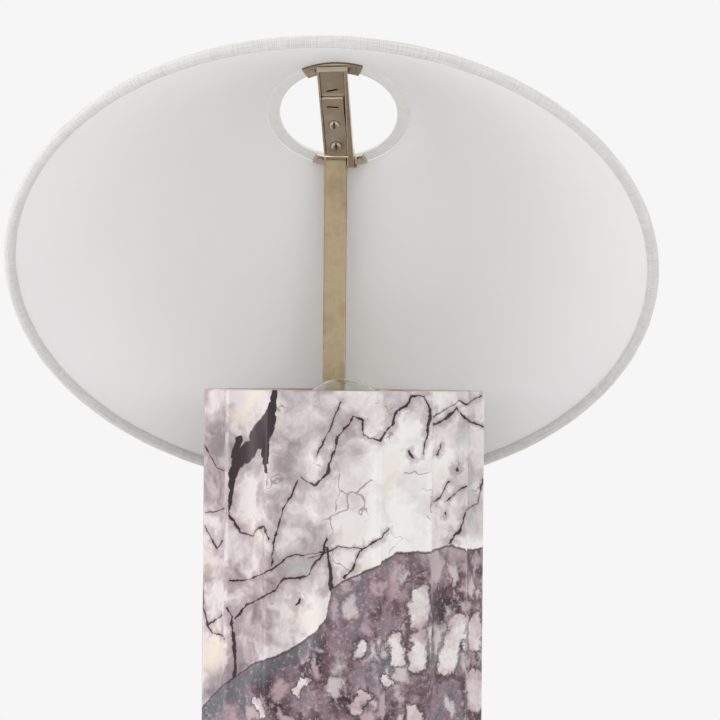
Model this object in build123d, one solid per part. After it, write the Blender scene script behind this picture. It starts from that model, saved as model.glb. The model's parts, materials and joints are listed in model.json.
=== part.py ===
from build123d import *
import os
from math import asin, atan, cos, degrees, radians, sin, sqrt

# Column table lamp: a fluted marble column on felt, a sunk bulb, and a flat brass mast that
# carries a wide linen cone shade on a friction hinge. Millimetres, +Z up. The origin is the
# centre of the felt's underside on the column's axis, -Y is the front, +Y the rear.
# "Shade frame" below means: origin at the centre of the shade's top hole, z along the shade's
# axis towards the top, x as the lamp's x. "Radial" sizes are square to the axis named.

# marble column
COLUMN_RADIUS = 66.5          # over the arrises
COLUMN_HEIGHT = 298.0
FLUTE_COUNT = 16
FLUTE_DEPTH = 5.0
FLUTE_START = -6.4            # degrees from +X to one arris
ARRIS_WIDTH = 3.0             # rounded crown between two flutes
ARRIS_CROWN = 0.33
COLUMN_EDGE_ROUND = 1.2
FELT_INSET = 7.5              # felt's edge inside the arrises
FELT_THICKNESS = 2.0

# base cavity and what hangs in it
CAVITY_RADIUS = 45.0
CAVITY_HEIGHT = 30.0
TIE_HOLE_RADIUS = 6.0
BASE_PLATE_INSET = 4.0        # inside the cavity's wall
BASE_PLATE_THICKNESS = 3.0
TERMINAL_BLOCK_SIZE = (14.0, 22.0, 17.0)
TERMINAL_BLOCK_X = -27.0
TERMINAL_SCREW_RADIUS = 1.5

# cord inlet at the rear
INLET_HEIGHT = 13.0           # axis above the felt's underside
INLET_BORE_RADIUS = 3.2
INLET_BODY_RADIUS = 5.0
INLET_FLANGE_RADIUS = 7.5
INLET_FLANGE_THICKNESS = 2.0
INLET_SEAT_INSET = 7.5        # flat that the flange sits on, inside the arrises
INLET_TAIL = 1.5              # body inside the cavity

# tie tube, nuts and washers
TUBE_RADIUS = 5.0
TUBE_BORE_RADIUS = 4.0
TUBE_BELOW_NUT = 1.0
TUBE_IN_HOLDER = 9.0
NUT_ACROSS_FLATS = 16.0
NUT_THICKNESS = 4.0
WASHER_RADIUS = 10.0
WASHER_THICKNESS = 1.2

# top plate and lamp cup
PLATE_INSET = 9.5             # plate's edge inside the arrises
PLATE_THICKNESS = 3.0
CUP_RADIUS = 30.0
CUP_WALL = 1.0
CUP_LIP_WIDTH = 3.0
SEAT_CLEARANCE = 0.3          # plate, cup, gland and tie tube in the marble

# mast
MAST_INSET = 15.0             # middle of the bar inside the arrises
MAST_WIDTH = 11.0
MAST_THICKNESS = 5.0
MAST_EDGE_ROUND = 0.9
PIVOT_HEIGHT = 110.2          # hinge axis above the column's top face
FOOT_SCREW_SPACING = 5.6
FOOT_SCREW_RADIUS = 1.25
FOOT_SCREW_HEAD_RADIUS = 2.4
FOOT_SCREW_DEPTH = 9.0        # thread in the mast

# hinge
HINGE_PIN_RADIUS = 1.5
HINGE_PIN_FIT = 0.05          # radial running clearance in the ear
HINGE_PIN_DEPTH = 7.0         # thread in the mast
HINGE_HEAD_RADIUS = 2.8
HINGE_HEAD_THICKNESS = 1.2
HINGE_WASHER_RADIUS = 3.0
HINGE_WASHER_THICKNESS = 0.4
HINGE_SIDE_PLAY = 0.1
EAR_RADIUS = 3.25

# shade, in the shade frame
SHADE_X = -4.8                # the shade's middle plane from the column's axis
REAR_WALL_LEAN = 4.38         # degrees that the shade's rear wall leans back at rest
SHADE_RADIUS = 150.0          # outside of the wrapped rim
SHADE_DEPTH = 111.5           # rim's underside to the middle of the top ring
HOLE_RADIUS = 28.2
COLLAR_WIDTH = 6.2
COLLAR_THICKNESS = 1.8
RIM_WRAP_RADIUS = 2.75
RIM_WIRE_RADIUS = 1.5
TOP_RING_WIDTH = 4.0
TOP_RING_THICKNESS = 1.0
LINING_WALL = 1.4             # radial
COVER_WALL = 1.1              # radial

# bracket that crosses the top hole
BRACKET_SKEW = 2.2            # degrees off square to the hinge axis, its front end to the left
PIVOT_INSET = 0.6             # hinge axis inside the hole's edge
PIVOT_DROP = 5.6              # hinge axis below the top ring's middle
SADDLE_THICKNESS = 1.2
SADDLE_INSET = 0.2            # inside the collar's outer edge
FRONT_SADDLE_ANGLE = 50.0
REAR_SADDLE_ANGLE = 46.0
REAR_SADDLE_INSET = 0.4       # clear of the mast's rounded top
SADDLE_TONGUE_WIDTH = 9.0
CHANNEL_WIDTH = 14.5
CHANNEL_WEB = 1.3
CHANNEL_LEFT_WALL = 0.9
CHANNEL_RIGHT_WALL = 1.5      # at the front end; the ear is thicker
CHANNEL_LIP = 1.2
CHANNEL_DEPTH = 3.2           # walls below the top face of the web, at the front
CHANNEL_FRONT_REACH = 4.5     # past the hole's edge, under the front saddle
STRIP_CLEARANCE = 0.1         # leaf and block, each side in the channel
LEAF_THICKNESS = 0.8
LEAF_GAP = 0.3                # leaf's end to the mast's rounded top
LEAF_OVERHANG = 1.0           # leaf's end past the web
BLOCK_LENGTH = 11.3
BLOCK_HEIGHT = 1.5
EDGE_ROUND = 0.25             # on the block's face and the channel's lower edges
BLOCK_Y = -8.65
WEB_SCREW_Y = -18.2
LEAF_SCREW_YS = (3.5, 17.65)
SCREW_RADIUS = 1.25
PAN_HEAD_RADIUS = 2.6
PAN_HEAD_HEIGHT = 1.6
PAN_HEAD_ROUND = 1.1
FLAT_HEAD_RADIUS = 3.0
SLOT_WIDTH = 0.9
SLOT_DEPTH = 0.9
WEB_SCREW_SLOT_TURN = -13.0
BLOCK_SCREW_SLOT_TURN = 6.0
RIVET_RADIUS = 0.8
RIVET_HEAD_RADIUS = 1.5
RIVET_HEAD_HEIGHT = 0.6
RIVET_ANGLE = 18.0            # each side of the middle plane

# lampholder and bulb
BULB_RADIUS = 22.5
BULB_LENGTH = 78.0
BULB_CROWN_ABOVE = 5.6        # crown above the column's top face
BULB_WALL = 0.7
NECK_TANGENT_RADIUS = 15.0    # where the globe runs into the neck
CAP_RADIUS = 6.9              # and the glass neck's
CAP_WALL = 0.5
CAP_HEIGHT = 22.0
CAP_INSULATOR_HEIGHT = 3.5
CAP_BUTTON_RADIUS = 2.4
CAP_BUTTON_HEIGHT = 1.4
HOLDER_RADIUS = 14.0
HOLDER_WALL = 1.8
HOLDER_BASE_HEIGHT = 16.0
HOLDER_INSERT_HEIGHT = 9.0
HOLDER_SHELL_RADIUS = 7.6     # outside of the threaded shell
HOLDER_SHELL_WALL = 0.4
HOLDER_CLEARANCE = 0.1        # insert in the sleeve, shell in the sleeve's mouth
CONTACT_WIDTH = 4.0
CONTACT_THICKNESS = 0.5
CONTACT_RISE = 6.4            # top of the spring contact above the insert
FILAMENT_COUNT = 4
FILAMENT_RADIUS = 0.8
FILAMENT_LENGTH = 24.0
FILAMENT_CIRCLE = 5.5
STEM_RADIUS = 1.6
SPOKE_RADIUS = 0.35
SPOKE_LAND = 1.0              # bare stem beyond each spoke ring

# inner leads
LEAD_RADIUS = 1.0
LEAD_OFFSET = 1.6             # each side of the tube's axis
LEAD_BEND = 8.0

# heights that follow
COLUMN_BOTTOM = FELT_THICKNESS
COLUMN_TOP = COLUMN_BOTTOM + COLUMN_HEIGHT
CAVITY_TOP = COLUMN_BOTTOM + CAVITY_HEIGHT
BASE_PLATE_BOTTOM = CAVITY_TOP - BASE_PLATE_THICKNESS
LOWER_NUT_TOP = BASE_PLATE_BOTTOM - WASHER_THICKNESS
TUBE_BOTTOM = LOWER_NUT_TOP - NUT_THICKNESS - TUBE_BELOW_NUT
TERMINAL_BLOCK_BOTTOM = BASE_PLATE_BOTTOM - TERMINAL_BLOCK_SIZE[2]
PLATE_BOTTOM = COLUMN_TOP - PLATE_THICKNESS
PIVOT_Z = COLUMN_TOP + PIVOT_HEIGHT
BULB_CROWN = COLUMN_TOP + BULB_CROWN_ABOVE
BULB_CENTRE = BULB_CROWN - BULB_RADIUS
BULB_BOTTOM = BULB_CROWN - BULB_LENGTH
CAP_BOTTOM = BULB_BOTTOM + CAP_BUTTON_HEIGHT + CAP_INSULATOR_HEIGHT
CAP_TOP = CAP_BOTTOM + CAP_HEIGHT
HOLDER_TOP = CAP_TOP - 2 * HOLDER_WALL
INSERT_TOP = BULB_BOTTOM - CONTACT_RISE
INSERT_BOTTOM = INSERT_TOP - HOLDER_INSERT_HEIGHT
HOLDER_BOTTOM = INSERT_BOTTOM - HOLDER_BASE_HEIGHT
TUBE_TOP = HOLDER_BOTTOM + TUBE_IN_HOLDER
UPPER_NUT_BOTTOM = HOLDER_BOTTOM - NUT_THICKNESS
CUP_FLOOR = UPPER_NUT_BOTTOM - WASHER_THICKNESS
RECESS_FLOOR = CUP_FLOOR - CUP_WALL
FILAMENT_BOTTOM = BULB_CENTRE - FILAMENT_LENGTH / 2
FILAMENT_TOP = BULB_CENTRE + FILAMENT_LENGTH / 2

# places that follow, about the column's axis
FELT_RADIUS = COLUMN_RADIUS - FELT_INSET
PLATE_RADIUS = COLUMN_RADIUS - PLATE_INSET
MAST_Y = COLUMN_RADIUS - MAST_INSET
INLET_SEAT_Y = COLUMN_RADIUS - INLET_SEAT_INSET
BASE_PLATE_RADIUS = CAVITY_RADIUS - BASE_PLATE_INSET
TERMINAL_BLOCK_RIGHT = TERMINAL_BLOCK_X + TERMINAL_BLOCK_SIZE[0] / 2
HOLDER_INNER = HOLDER_RADIUS - HOLDER_WALL
FILAMENT_ANGLES = [number * 360 / FILAMENT_COUNT for number in range(FILAMENT_COUNT)]

# places that follow, in the shade frame
COLLAR_RADIUS = HOLE_RADIUS + COLLAR_WIDTH
COLLAR_MIDDLE = HOLE_RADIUS + COLLAR_WIDTH / 2
RIM_CENTRE_RADIUS = SHADE_RADIUS - RIM_WRAP_RADIUS
RIM_CENTRE_Z = RIM_WRAP_RADIUS - SHADE_DEPTH
SADDLE_TOP = -COLLAR_THICKNESS / 2
WEB_TOP = SADDLE_TOP - SADDLE_THICKNESS
WEB_BOTTOM = WEB_TOP - CHANNEL_WEB
LEAF_BOTTOM = WEB_BOTTOM - LEAF_THICKNESS
BLOCK_BOTTOM = WEB_BOTTOM - BLOCK_HEIGHT
PIVOT_Y = HOLE_RADIUS - PIVOT_INSET
MAST_TOP_RADIUS = MAST_THICKNESS / 2
LEAF_REAR = PIVOT_Y - MAST_TOP_RADIUS - LEAF_GAP
WEB_REAR = LEAF_REAR - LEAF_OVERHANG
CHANNEL_FRONT = -HOLE_RADIUS - CHANNEL_FRONT_REACH
CHANNEL_LEFT = -CHANNEL_WIDTH / 2
CHANNEL_RIGHT = CHANNEL_WIDTH / 2
MAST_RIGHT = CHANNEL_LEFT + MAST_WIDTH            # the mast is flush with the channel's left side
EAR_INNER = MAST_RIGHT + HINGE_SIDE_PLAY + HINGE_WASHER_THICKNESS
WEB_RIGHT = (EAR_INNER + CHANNEL_RIGHT) / 2       # the web ends inside the right wall
MAST_X = SHADE_X + CHANNEL_LEFT + MAST_WIDTH / 2
STRIP_LEFT = CHANNEL_LEFT + CHANNEL_LEFT_WALL + STRIP_CLEARANCE
STRIP_RIGHT = EAR_INNER - STRIP_CLEARANCE
STRIP_MIDDLE = (STRIP_LEFT + STRIP_RIGHT) / 2
BLOCK_FRONT = BLOCK_Y - BLOCK_LENGTH / 2
BLOCK_REAR = BLOCK_Y + BLOCK_LENGTH / 2
SHADE_WALL = LINING_WALL + COVER_WALL
SHADE_SLOPE = (RIM_CENTRE_RADIUS - COLLAR_RADIUS - SHADE_WALL / 2) / (SADDLE_TOP - RIM_CENTRE_Z)
SHADE_TILT = degrees(atan(SHADE_SLOPE)) - REAR_WALL_LEAN
REAR = 90                     # directions of the two saddles in plan, in degrees
FRONT = -90 - BRACKET_SKEW - degrees(asin(PIVOT_Y * sin(radians(BRACKET_SKEW)) / COLLAR_MIDDLE))

PIVOT = (SHADE_X, MAST_Y, PIVOT_Z)
BASE_ALIGN = (Align.CENTER, Align.CENTER, Align.MIN)


def in_shade_frame(piece):
    """The piece moved from the shade frame to its place at rest."""
    return Pos(*PIVOT) * Rot(-SHADE_TILT, 0, 0) * Pos(0, -PIVOT_Y, PIVOT_DROP) * piece


def disc(radius, low, high):
    """A round disc about the vertical axis."""
    return Pos(0, 0, low) * Cylinder(radius, high - low, align=BASE_ALIGN)


def tube(outer, inner, low, high):
    """A round tube about the vertical axis."""
    return disc(outer, low, high) - disc(inner, low, high)


def block(x_low, x_high, y_low, y_high, z_low, z_high):
    """A square-cornered block between two corners."""
    size = (x_high - x_low, y_high - y_low, z_high - z_low)
    return Pos(x_low, y_low, z_low) * Box(*size, align=Align.MIN)


def turned(*points):
    """A solid turned about the vertical axis from a closed outline of (radius, height)."""
    return revolve(Plane.XZ * make_face(Polyline(*points, close=True)), Axis.Z)


def polar(radius, angle):
    """A point on a circle in plan, with its angle in degrees."""
    return (radius * cos(radians(angle)), radius * sin(radians(angle)))


def sector(inner, outer, angle, middle, low, high):
    """A stretch of flat ring, `angle` degrees wide about the direction `middle`."""
    reach = 2 * outer
    sides = (polar(reach, middle - angle / 2), polar(reach, middle + angle / 2))
    wedge = extrude(make_face(Polyline((0, 0), *sides, close=True)), high - low, dir=(0, 0, 1))
    return tube(outer, inner, low, high) & Pos(0, 0, low) * wedge


def along_x(piece):
    """A piece made about the vertical axis, laid along X."""
    return Rot(0, 90, 0) * piece


def along_y(piece):
    """A piece made about the vertical axis, laid along Y."""
    return Rot(-90, 0, 0) * piece


def driver_slot(radius, face, turn=0):
    """A driver slot in the downward face, at height `face`, of a screw head."""
    half = SLOT_WIDTH / 2
    return Rot(0, 0, turn) * block(-radius, radius, -half, half, face, face + SLOT_DEPTH)


# ---- column and base ----

def column_outline():
    """Plan of the column: wide hollow flutes between narrow rounded arrises."""
    pitch = 360 / FLUTE_COUNT
    half_land = degrees(ARRIS_WIDTH / COLUMN_RADIUS) / 2
    shoulder = COLUMN_RADIUS - ARRIS_CROWN
    arcs = []
    for number in range(FLUTE_COUNT):
        arris = FLUTE_START + number * pitch
        start = polar(shoulder, arris - half_land)
        end = polar(shoulder, arris + half_land)
        next_start = polar(shoulder, arris + pitch - half_land)
        valley = polar(COLUMN_RADIUS - FLUTE_DEPTH, arris + pitch / 2)
        arcs.append(ThreePointArc(start, polar(COLUMN_RADIUS, arris), end))
        arcs.append(ThreePointArc(end, valley, next_start))
    return make_face(arcs)


def marble_column():
    """Fluted shaft with its cavity, tie hole, bulb recess, plate seat and cord hole."""
    shaft = Pos(0, 0, COLUMN_BOTTOM) * extrude(column_outline(), COLUMN_HEIGHT, dir=(0, 0, 1))
    rims = shaft.edges().filter_by_position(Axis.Z, COLUMN_TOP, COLUMN_TOP)
    rims += shaft.edges().filter_by_position(Axis.Z, COLUMN_BOTTOM, COLUMN_BOTTOM)
    shaft = fillet(rims, COLUMN_EDGE_ROUND)
    shaft -= disc(CAVITY_RADIUS, COLUMN_BOTTOM, CAVITY_TOP)
    shaft -= disc(TIE_HOLE_RADIUS, CAVITY_TOP, RECESS_FLOOR)
    shaft -= disc(CUP_RADIUS + SEAT_CLEARANCE, RECESS_FLOOR, PLATE_BOTTOM)
    shaft -= disc(PLATE_RADIUS + SEAT_CLEARANCE, PLATE_BOTTOM, COLUMN_TOP)
    inlet = disc(INLET_BODY_RADIUS + SEAT_CLEARANCE, 0, INLET_SEAT_Y)
    inlet += disc(INLET_FLANGE_RADIUS + SEAT_CLEARANCE, INLET_SEAT_Y, COLUMN_RADIUS)
    return shaft - Pos(0, 0, INLET_HEIGHT) * along_y(inlet)


def base_felt():
    return disc(FELT_RADIUS, 0, FELT_THICKNESS)


def base_plate():
    """Steel disc that the lower nut pulls against the cavity's ceiling."""
    return tube(BASE_PLATE_RADIUS, TUBE_RADIUS + SEAT_CLEARANCE, BASE_PLATE_BOTTOM, CAVITY_TOP)


def tie_tube():
    """Hollow threaded tube that clamps the cup, the marble and the base plate together."""
    return tube(TUBE_RADIUS, TUBE_BORE_RADIUS, TUBE_BOTTOM, TUBE_TOP)


def tie_nuts():
    """One nut below the base plate and one on the cup's floor."""
    flats = RegularPolygon(NUT_ACROSS_FLATS / 2, 6, major_radius=False)
    nut = extrude(flats, NUT_THICKNESS) - disc(TUBE_RADIUS, 0, NUT_THICKNESS)
    return [Pos(0, 0, LOWER_NUT_TOP - NUT_THICKNESS) * nut, Pos(0, 0, UPPER_NUT_BOTTOM) * nut]


def tie_washers():
    lower = tube(WASHER_RADIUS, TUBE_RADIUS, LOWER_NUT_TOP, BASE_PLATE_BOTTOM)
    upper = tube(WASHER_RADIUS, TUBE_RADIUS, CUP_FLOOR, UPPER_NUT_BOTTOM)
    return [lower, upper]


def cord_gland():
    """Bush that lines the cord's hole, with its flange on the flat at the rear."""
    bush = disc(INLET_BODY_RADIUS, CAVITY_RADIUS - INLET_TAIL, INLET_SEAT_Y)
    bush += disc(INLET_FLANGE_RADIUS, INLET_SEAT_Y, INLET_SEAT_Y + INLET_FLANGE_THICKNESS)
    rim = bush.edges().filter_by_position(Axis.Z, INLET_SEAT_Y + INLET_FLANGE_THICKNESS, COLUMN_RADIUS)
    bush = fillet(rim, INLET_FLANGE_THICKNESS / 2)
    bush -= disc(INLET_BORE_RADIUS, 0, COLUMN_RADIUS)
    return Pos(0, 0, INLET_HEIGHT) * along_y(bush)


def terminal_screw_places():
    """Two screws for each of the two poles."""
    x_step = TERMINAL_BLOCK_SIZE[0] / 4
    y_step = TERMINAL_BLOCK_SIZE[1] / 4
    return [Pos(TERMINAL_BLOCK_X + i * x_step, j * y_step, 0) for i in (-1, 1) for j in (-1, 1)]


def terminal_block():
    body = Box(*TERMINAL_BLOCK_SIZE, align=BASE_ALIGN)
    body = Pos(TERMINAL_BLOCK_X, 0, TERMINAL_BLOCK_BOTTOM) * fillet(
        body.edges().filter_by(Axis.Z), TERMINAL_SCREW_RADIUS
    )
    for place in terminal_screw_places():
        body -= place * terminal_shank()
    return body


def terminal_shank():
    middle = TERMINAL_BLOCK_BOTTOM + TERMINAL_BLOCK_SIZE[2] / 2
    return disc(TERMINAL_SCREW_RADIUS, TERMINAL_BLOCK_BOTTOM, middle)


def terminal_screws():
    screw = terminal_shank() - driver_slot(TERMINAL_SCREW_RADIUS, TERMINAL_BLOCK_BOTTOM)
    return [place * screw for place in terminal_screw_places()]


def inner_leads():
    """Two insulated leads from the terminal block up the tie tube to the lampholder."""
    level = TUBE_BOTTOM - LEAD_BEND
    leads = []
    for side in (-LEAD_OFFSET, LEAD_OFFSET):
        route = ((TERMINAL_BLOCK_RIGHT, side, level), (0, side, level), (0, side, INSERT_BOTTOM))
        path = FilletPolyline(*route, radius=LEAD_BEND)
        section = Plane(origin=route[0], z_dir=(1, 0, 0)) * Circle(LEAD_RADIUS)
        leads.append(sweep(section, path=path))
    return leads


# ---- top of the column ----

def mast_screw():
    """Countersunk screw up through the top plate into the mast's end."""
    cone = FOOT_SCREW_HEAD_RADIUS - FOOT_SCREW_RADIUS
    end = COLUMN_TOP + FOOT_SCREW_DEPTH
    return turned(
        (0, PLATE_BOTTOM),
        (FOOT_SCREW_HEAD_RADIUS, PLATE_BOTTOM),
        (FOOT_SCREW_RADIUS, PLATE_BOTTOM + cone),
        (FOOT_SCREW_RADIUS, end),
        (0, end),
    )


def mast_screw_places():
    return [Pos(MAST_X + side * FOOT_SCREW_SPACING / 2, MAST_Y, 0) for side in (-1, 1)]


def mast_screws():
    slotted = mast_screw() - driver_slot(FOOT_SCREW_HEAD_RADIUS, PLATE_BOTTOM)
    return [place * slotted for place in mast_screw_places()]


def top_plate():
    """Brass disc let in flush with the marble, round the lamp cup."""
    plate = tube(PLATE_RADIUS, CUP_RADIUS + SEAT_CLEARANCE, PLATE_BOTTOM, COLUMN_TOP)
    plate -= disc(CUP_RADIUS + CUP_LIP_WIDTH + SEAT_CLEARANCE, COLUMN_TOP - CUP_WALL, COLUMN_TOP)
    for place in mast_screw_places():
        plate -= place * mast_screw()
    return plate


def lamp_cup():
    """Spun cup that lines the recess, clamped by its floor and hung on its lip."""
    cup = tube(CUP_RADIUS, CUP_RADIUS - CUP_WALL, RECESS_FLOOR, COLUMN_TOP)
    cup += disc(CUP_RADIUS, RECESS_FLOOR, CUP_FLOOR)
    cup += tube(CUP_RADIUS + CUP_LIP_WIDTH, CUP_RADIUS - CUP_WALL, COLUMN_TOP - CUP_WALL, COLUMN_TOP)
    return cup - disc(TUBE_RADIUS + SEAT_CLEARANCE, RECESS_FLOOR, CUP_FLOOR)


def mast():
    """Flat bar with eased edges and a full-round top about the hinge axis."""
    bar = Pos(0, MAST_Y, COLUMN_TOP) * Box(MAST_WIDTH, MAST_THICKNESS, PIVOT_HEIGHT, align=BASE_ALIGN)
    bar += Pos(-MAST_WIDTH / 2, MAST_Y, PIVOT_Z) * along_x(disc(MAST_TOP_RADIUS, 0, MAST_WIDTH))
    sides = bar.faces().filter_by(Axis.X)
    rims = [edge for edge in sides.edges() if edge.center().Z > COLUMN_TOP + MAST_EDGE_ROUND]
    bar = Pos(MAST_X, 0, 0) * fillet(rims, MAST_EDGE_ROUND)
    for place in mast_screw_places():
        bar -= place * mast_screw()
    return bar - Pos(*PIVOT) * along_x(disc(HINGE_PIN_RADIUS, MAST_RIGHT - HINGE_PIN_DEPTH, MAST_RIGHT))


def hinge_pin():
    """Slotted shoulder screw through the ear into the mast."""
    head = CHANNEL_RIGHT + HINGE_SIDE_PLAY
    outer = head + HINGE_HEAD_THICKNESS
    pin = disc(HINGE_HEAD_RADIUS, head, outer)
    pin = fillet(pin.edges().filter_by_position(Axis.Z, outer, outer), HINGE_HEAD_THICKNESS / 3)
    pin += disc(HINGE_PIN_RADIUS, MAST_RIGHT - HINGE_PIN_DEPTH, head)
    pin -= driver_slot(HINGE_HEAD_RADIUS, outer - SLOT_DEPTH)
    return Pos(*PIVOT) * along_x(pin)


# ---- lampholder and bulb ----

def lampholder_base():
    """Lower shell of the lampholder, screwed on the tie tube."""
    body = disc(HOLDER_RADIUS, HOLDER_BOTTOM, INSERT_BOTTOM)
    low_edge = body.edges().filter_by_position(Axis.Z, HOLDER_BOTTOM, HOLDER_BOTTOM)
    body = fillet(low_edge, 2 * HOLDER_WALL)
    body -= disc(HOLDER_INNER - HOLDER_WALL, HOLDER_BOTTOM + 2 * HOLDER_WALL, INSERT_BOTTOM)
    return body - disc(TUBE_RADIUS, HOLDER_BOTTOM, INSERT_BOTTOM)


def lampholder_insert():
    """Ceramic disc that carries the shell and the contact."""
    return disc(HOLDER_INNER - HOLDER_CLEARANCE, INSERT_BOTTOM, INSERT_TOP)


def lampholder_sleeve():
    """Upper shell with an inward lip at its mouth."""
    mouth = HOLDER_SHELL_RADIUS + HOLDER_CLEARANCE
    return turned(
        (HOLDER_INNER, INSERT_BOTTOM),
        (HOLDER_RADIUS, INSERT_BOTTOM),
        (HOLDER_RADIUS, HOLDER_TOP - HOLDER_WALL),
        (HOLDER_RADIUS - HOLDER_WALL, HOLDER_TOP),
        (mouth, HOLDER_TOP),
        (mouth, HOLDER_TOP - HOLDER_WALL),
        (HOLDER_INNER, HOLDER_TOP - HOLDER_WALL),
    )


def lampholder_shell():
    """Metal shell that takes the bulb's cap."""
    top = HOLDER_TOP - HOLDER_WALL
    return tube(HOLDER_SHELL_RADIUS, HOLDER_SHELL_RADIUS - HOLDER_SHELL_WALL, INSERT_TOP, top)


def lampholder_contact():
    """Bent spring strip under the bulb's centre contact."""
    reach = HOLDER_SHELL_RADIUS - HOLDER_WALL
    half = CONTACT_WIDTH / 2
    bend = CONTACT_THICKNESS - reach
    strip = block(-reach, reach, -half, half, INSERT_TOP, INSERT_TOP + CONTACT_THICKNESS)
    strip += block(-reach, bend, -half, half, INSERT_TOP, BULB_BOTTOM)
    return strip + block(-reach, half, -half, half, BULB_BOTTOM - CONTACT_THICKNESS, BULB_BOTTOM)


def globe(radius, tangent_radius, neck_radius):
    """Solid round globe that runs on a tangent cone into a straight neck."""
    drop = sqrt(radius**2 - tangent_radius**2)
    neck_drop = drop + (tangent_radius - neck_radius) * tangent_radius / drop
    arc = ThreePointArc(
        (0, BULB_CENTRE + radius), (radius, BULB_CENTRE), (tangent_radius, BULB_CENTRE - drop)
    )
    neck = Polyline(
        (tangent_radius, BULB_CENTRE - drop),
        (neck_radius, BULB_CENTRE - neck_drop),
        (neck_radius, CAP_TOP),
        (0, CAP_TOP),
        (0, BULB_CENTRE + radius),
    )
    return revolve(Plane.XZ * make_face([arc, neck]), Axis.Z)


def bulb_glass():
    share = (BULB_RADIUS - BULB_WALL) / BULB_RADIUS
    inside = globe(BULB_RADIUS - BULB_WALL, NECK_TANGENT_RADIUS * share, CAP_RADIUS - BULB_WALL)
    return globe(BULB_RADIUS, NECK_TANGENT_RADIUS, CAP_RADIUS) - inside


def bulb_cap():
    return tube(CAP_RADIUS, CAP_RADIUS - CAP_WALL, CAP_BOTTOM, CAP_TOP)


def bulb_insulator():
    """Glass cone between the cap's shell and its centre contact."""
    low = BULB_BOTTOM + CAP_BUTTON_HEIGHT
    return turned((0, low), (CAP_BUTTON_RADIUS, low), (CAP_RADIUS, CAP_BOTTOM), (0, CAP_BOTTOM))


def bulb_button():
    return disc(CAP_BUTTON_RADIUS, BULB_BOTTOM, BULB_BOTTOM + CAP_BUTTON_HEIGHT)


def bulb_stem():
    """Glass foot sealed in the neck, with the rod that holds the filaments."""
    foot = disc(CAP_RADIUS - BULB_WALL, CAP_TOP, CAP_TOP + 2 * BULB_WALL)
    return foot + disc(STEM_RADIUS, CAP_TOP, FILAMENT_TOP + SPOKE_LAND)


def bulb_filaments():
    stick = disc(FILAMENT_RADIUS, FILAMENT_BOTTOM, FILAMENT_TOP)
    return [Pos(*polar(FILAMENT_CIRCLE, angle), 0) * stick for angle in FILAMENT_ANGLES]


def filament_spokes():
    """Support wires between the rod and both ends of each filament."""
    wire = along_x(disc(SPOKE_RADIUS, STEM_RADIUS, FILAMENT_CIRCLE - FILAMENT_RADIUS))
    levels = (FILAMENT_BOTTOM + SPOKE_LAND, FILAMENT_TOP - SPOKE_LAND)
    return [Pos(0, 0, z) * Rot(0, 0, angle) * wire for z in levels for angle in FILAMENT_ANGLES]


# ---- shade, in the shade frame ----


def shade_wall(inner, outer):
    """Cone layer between two radial offsets from the lining's inner face."""
    depth = SADDLE_TOP - RIM_CENTRE_Z
    spread = COLLAR_RADIUS + SHADE_SLOPE * depth
    cone = turned(
        (COLLAR_RADIUS, SADDLE_TOP + inner / SHADE_SLOPE),
        (COLLAR_RADIUS, SADDLE_TOP + outer / SHADE_SLOPE),
        (spread + outer, RIM_CENTRE_Z),
        (spread + inner, RIM_CENTRE_Z),
    )
    return cone - Pos(0, 0, RIM_CENTRE_Z) * Torus(RIM_CENTRE_RADIUS, RIM_WRAP_RADIUS)


def shade_lining():
    return shade_wall(0, LINING_WALL)


def shade_cover():
    return shade_wall(LINING_WALL, SHADE_WALL)


def bottom_ring():
    return Pos(0, 0, RIM_CENTRE_Z) * Torus(RIM_CENTRE_RADIUS, RIM_WIRE_RADIUS)


def rim_binding():
    """Linen tape rolled round the bottom ring."""
    return Pos(0, 0, RIM_CENTRE_Z) * Torus(RIM_CENTRE_RADIUS, RIM_WRAP_RADIUS) - bottom_ring()


def rivet_places(middles):
    """Places of the saddle rivets about the directions `middles`."""
    angles = [middle + side * RIVET_ANGLE for middle in middles for side in (-1, 1)]
    return [Pos(*polar(COLLAR_MIDDLE, angle), 0) for angle in angles]


def rivet_shank():
    return disc(RIVET_RADIUS, WEB_TOP, -SADDLE_TOP)


def rivet_shanks(middles):
    return [place * rivet_shank() for place in rivet_places(middles)]


def saddle_rivets():
    """Four rivets through saddle, binding and ring, with a head at each end."""
    rivet = rivet_shank()
    rivet += disc(RIVET_HEAD_RADIUS, WEB_TOP - RIVET_HEAD_HEIGHT, WEB_TOP)
    rivet += disc(RIVET_HEAD_RADIUS, -SADDLE_TOP, RIVET_HEAD_HEIGHT - SADDLE_TOP)
    return [place * rivet for place in rivet_places((FRONT, REAR))]


def ring_blank():
    """The top ring before its rivet holes."""
    half = TOP_RING_WIDTH / 2
    top = TOP_RING_THICKNESS / 2
    return tube(COLLAR_MIDDLE + half, COLLAR_MIDDLE - half, -top, top)


def top_ring():
    """Flat steel ring at the top hole."""
    ring = ring_blank()
    for shank in rivet_shanks((FRONT, REAR)):
        ring -= shank
    return ring


def top_binding():
    """Linen tape folded round the top ring."""
    band = tube(COLLAR_RADIUS, HOLE_RADIUS, SADDLE_TOP, -SADDLE_TOP)
    inside = [edge for edge in band.edges().filter_by(GeomType.CIRCLE) if edge.radius < COLLAR_RADIUS]
    band = fillet(inside, COLLAR_THICKNESS / 3)
    band -= ring_blank()
    for shank in rivet_shanks((FRONT, REAR)):
        band -= shank
    return band


# ---- bracket, in the shade frame ----

def skewed(piece):
    """A bracket piece made square to the hinge axis, turned about the hinge's middle."""
    return Pos(0, PIVOT_Y, 0) * Rot(0, 0, -BRACKET_SKEW) * Pos(0, -PIVOT_Y, 0) * piece


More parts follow.
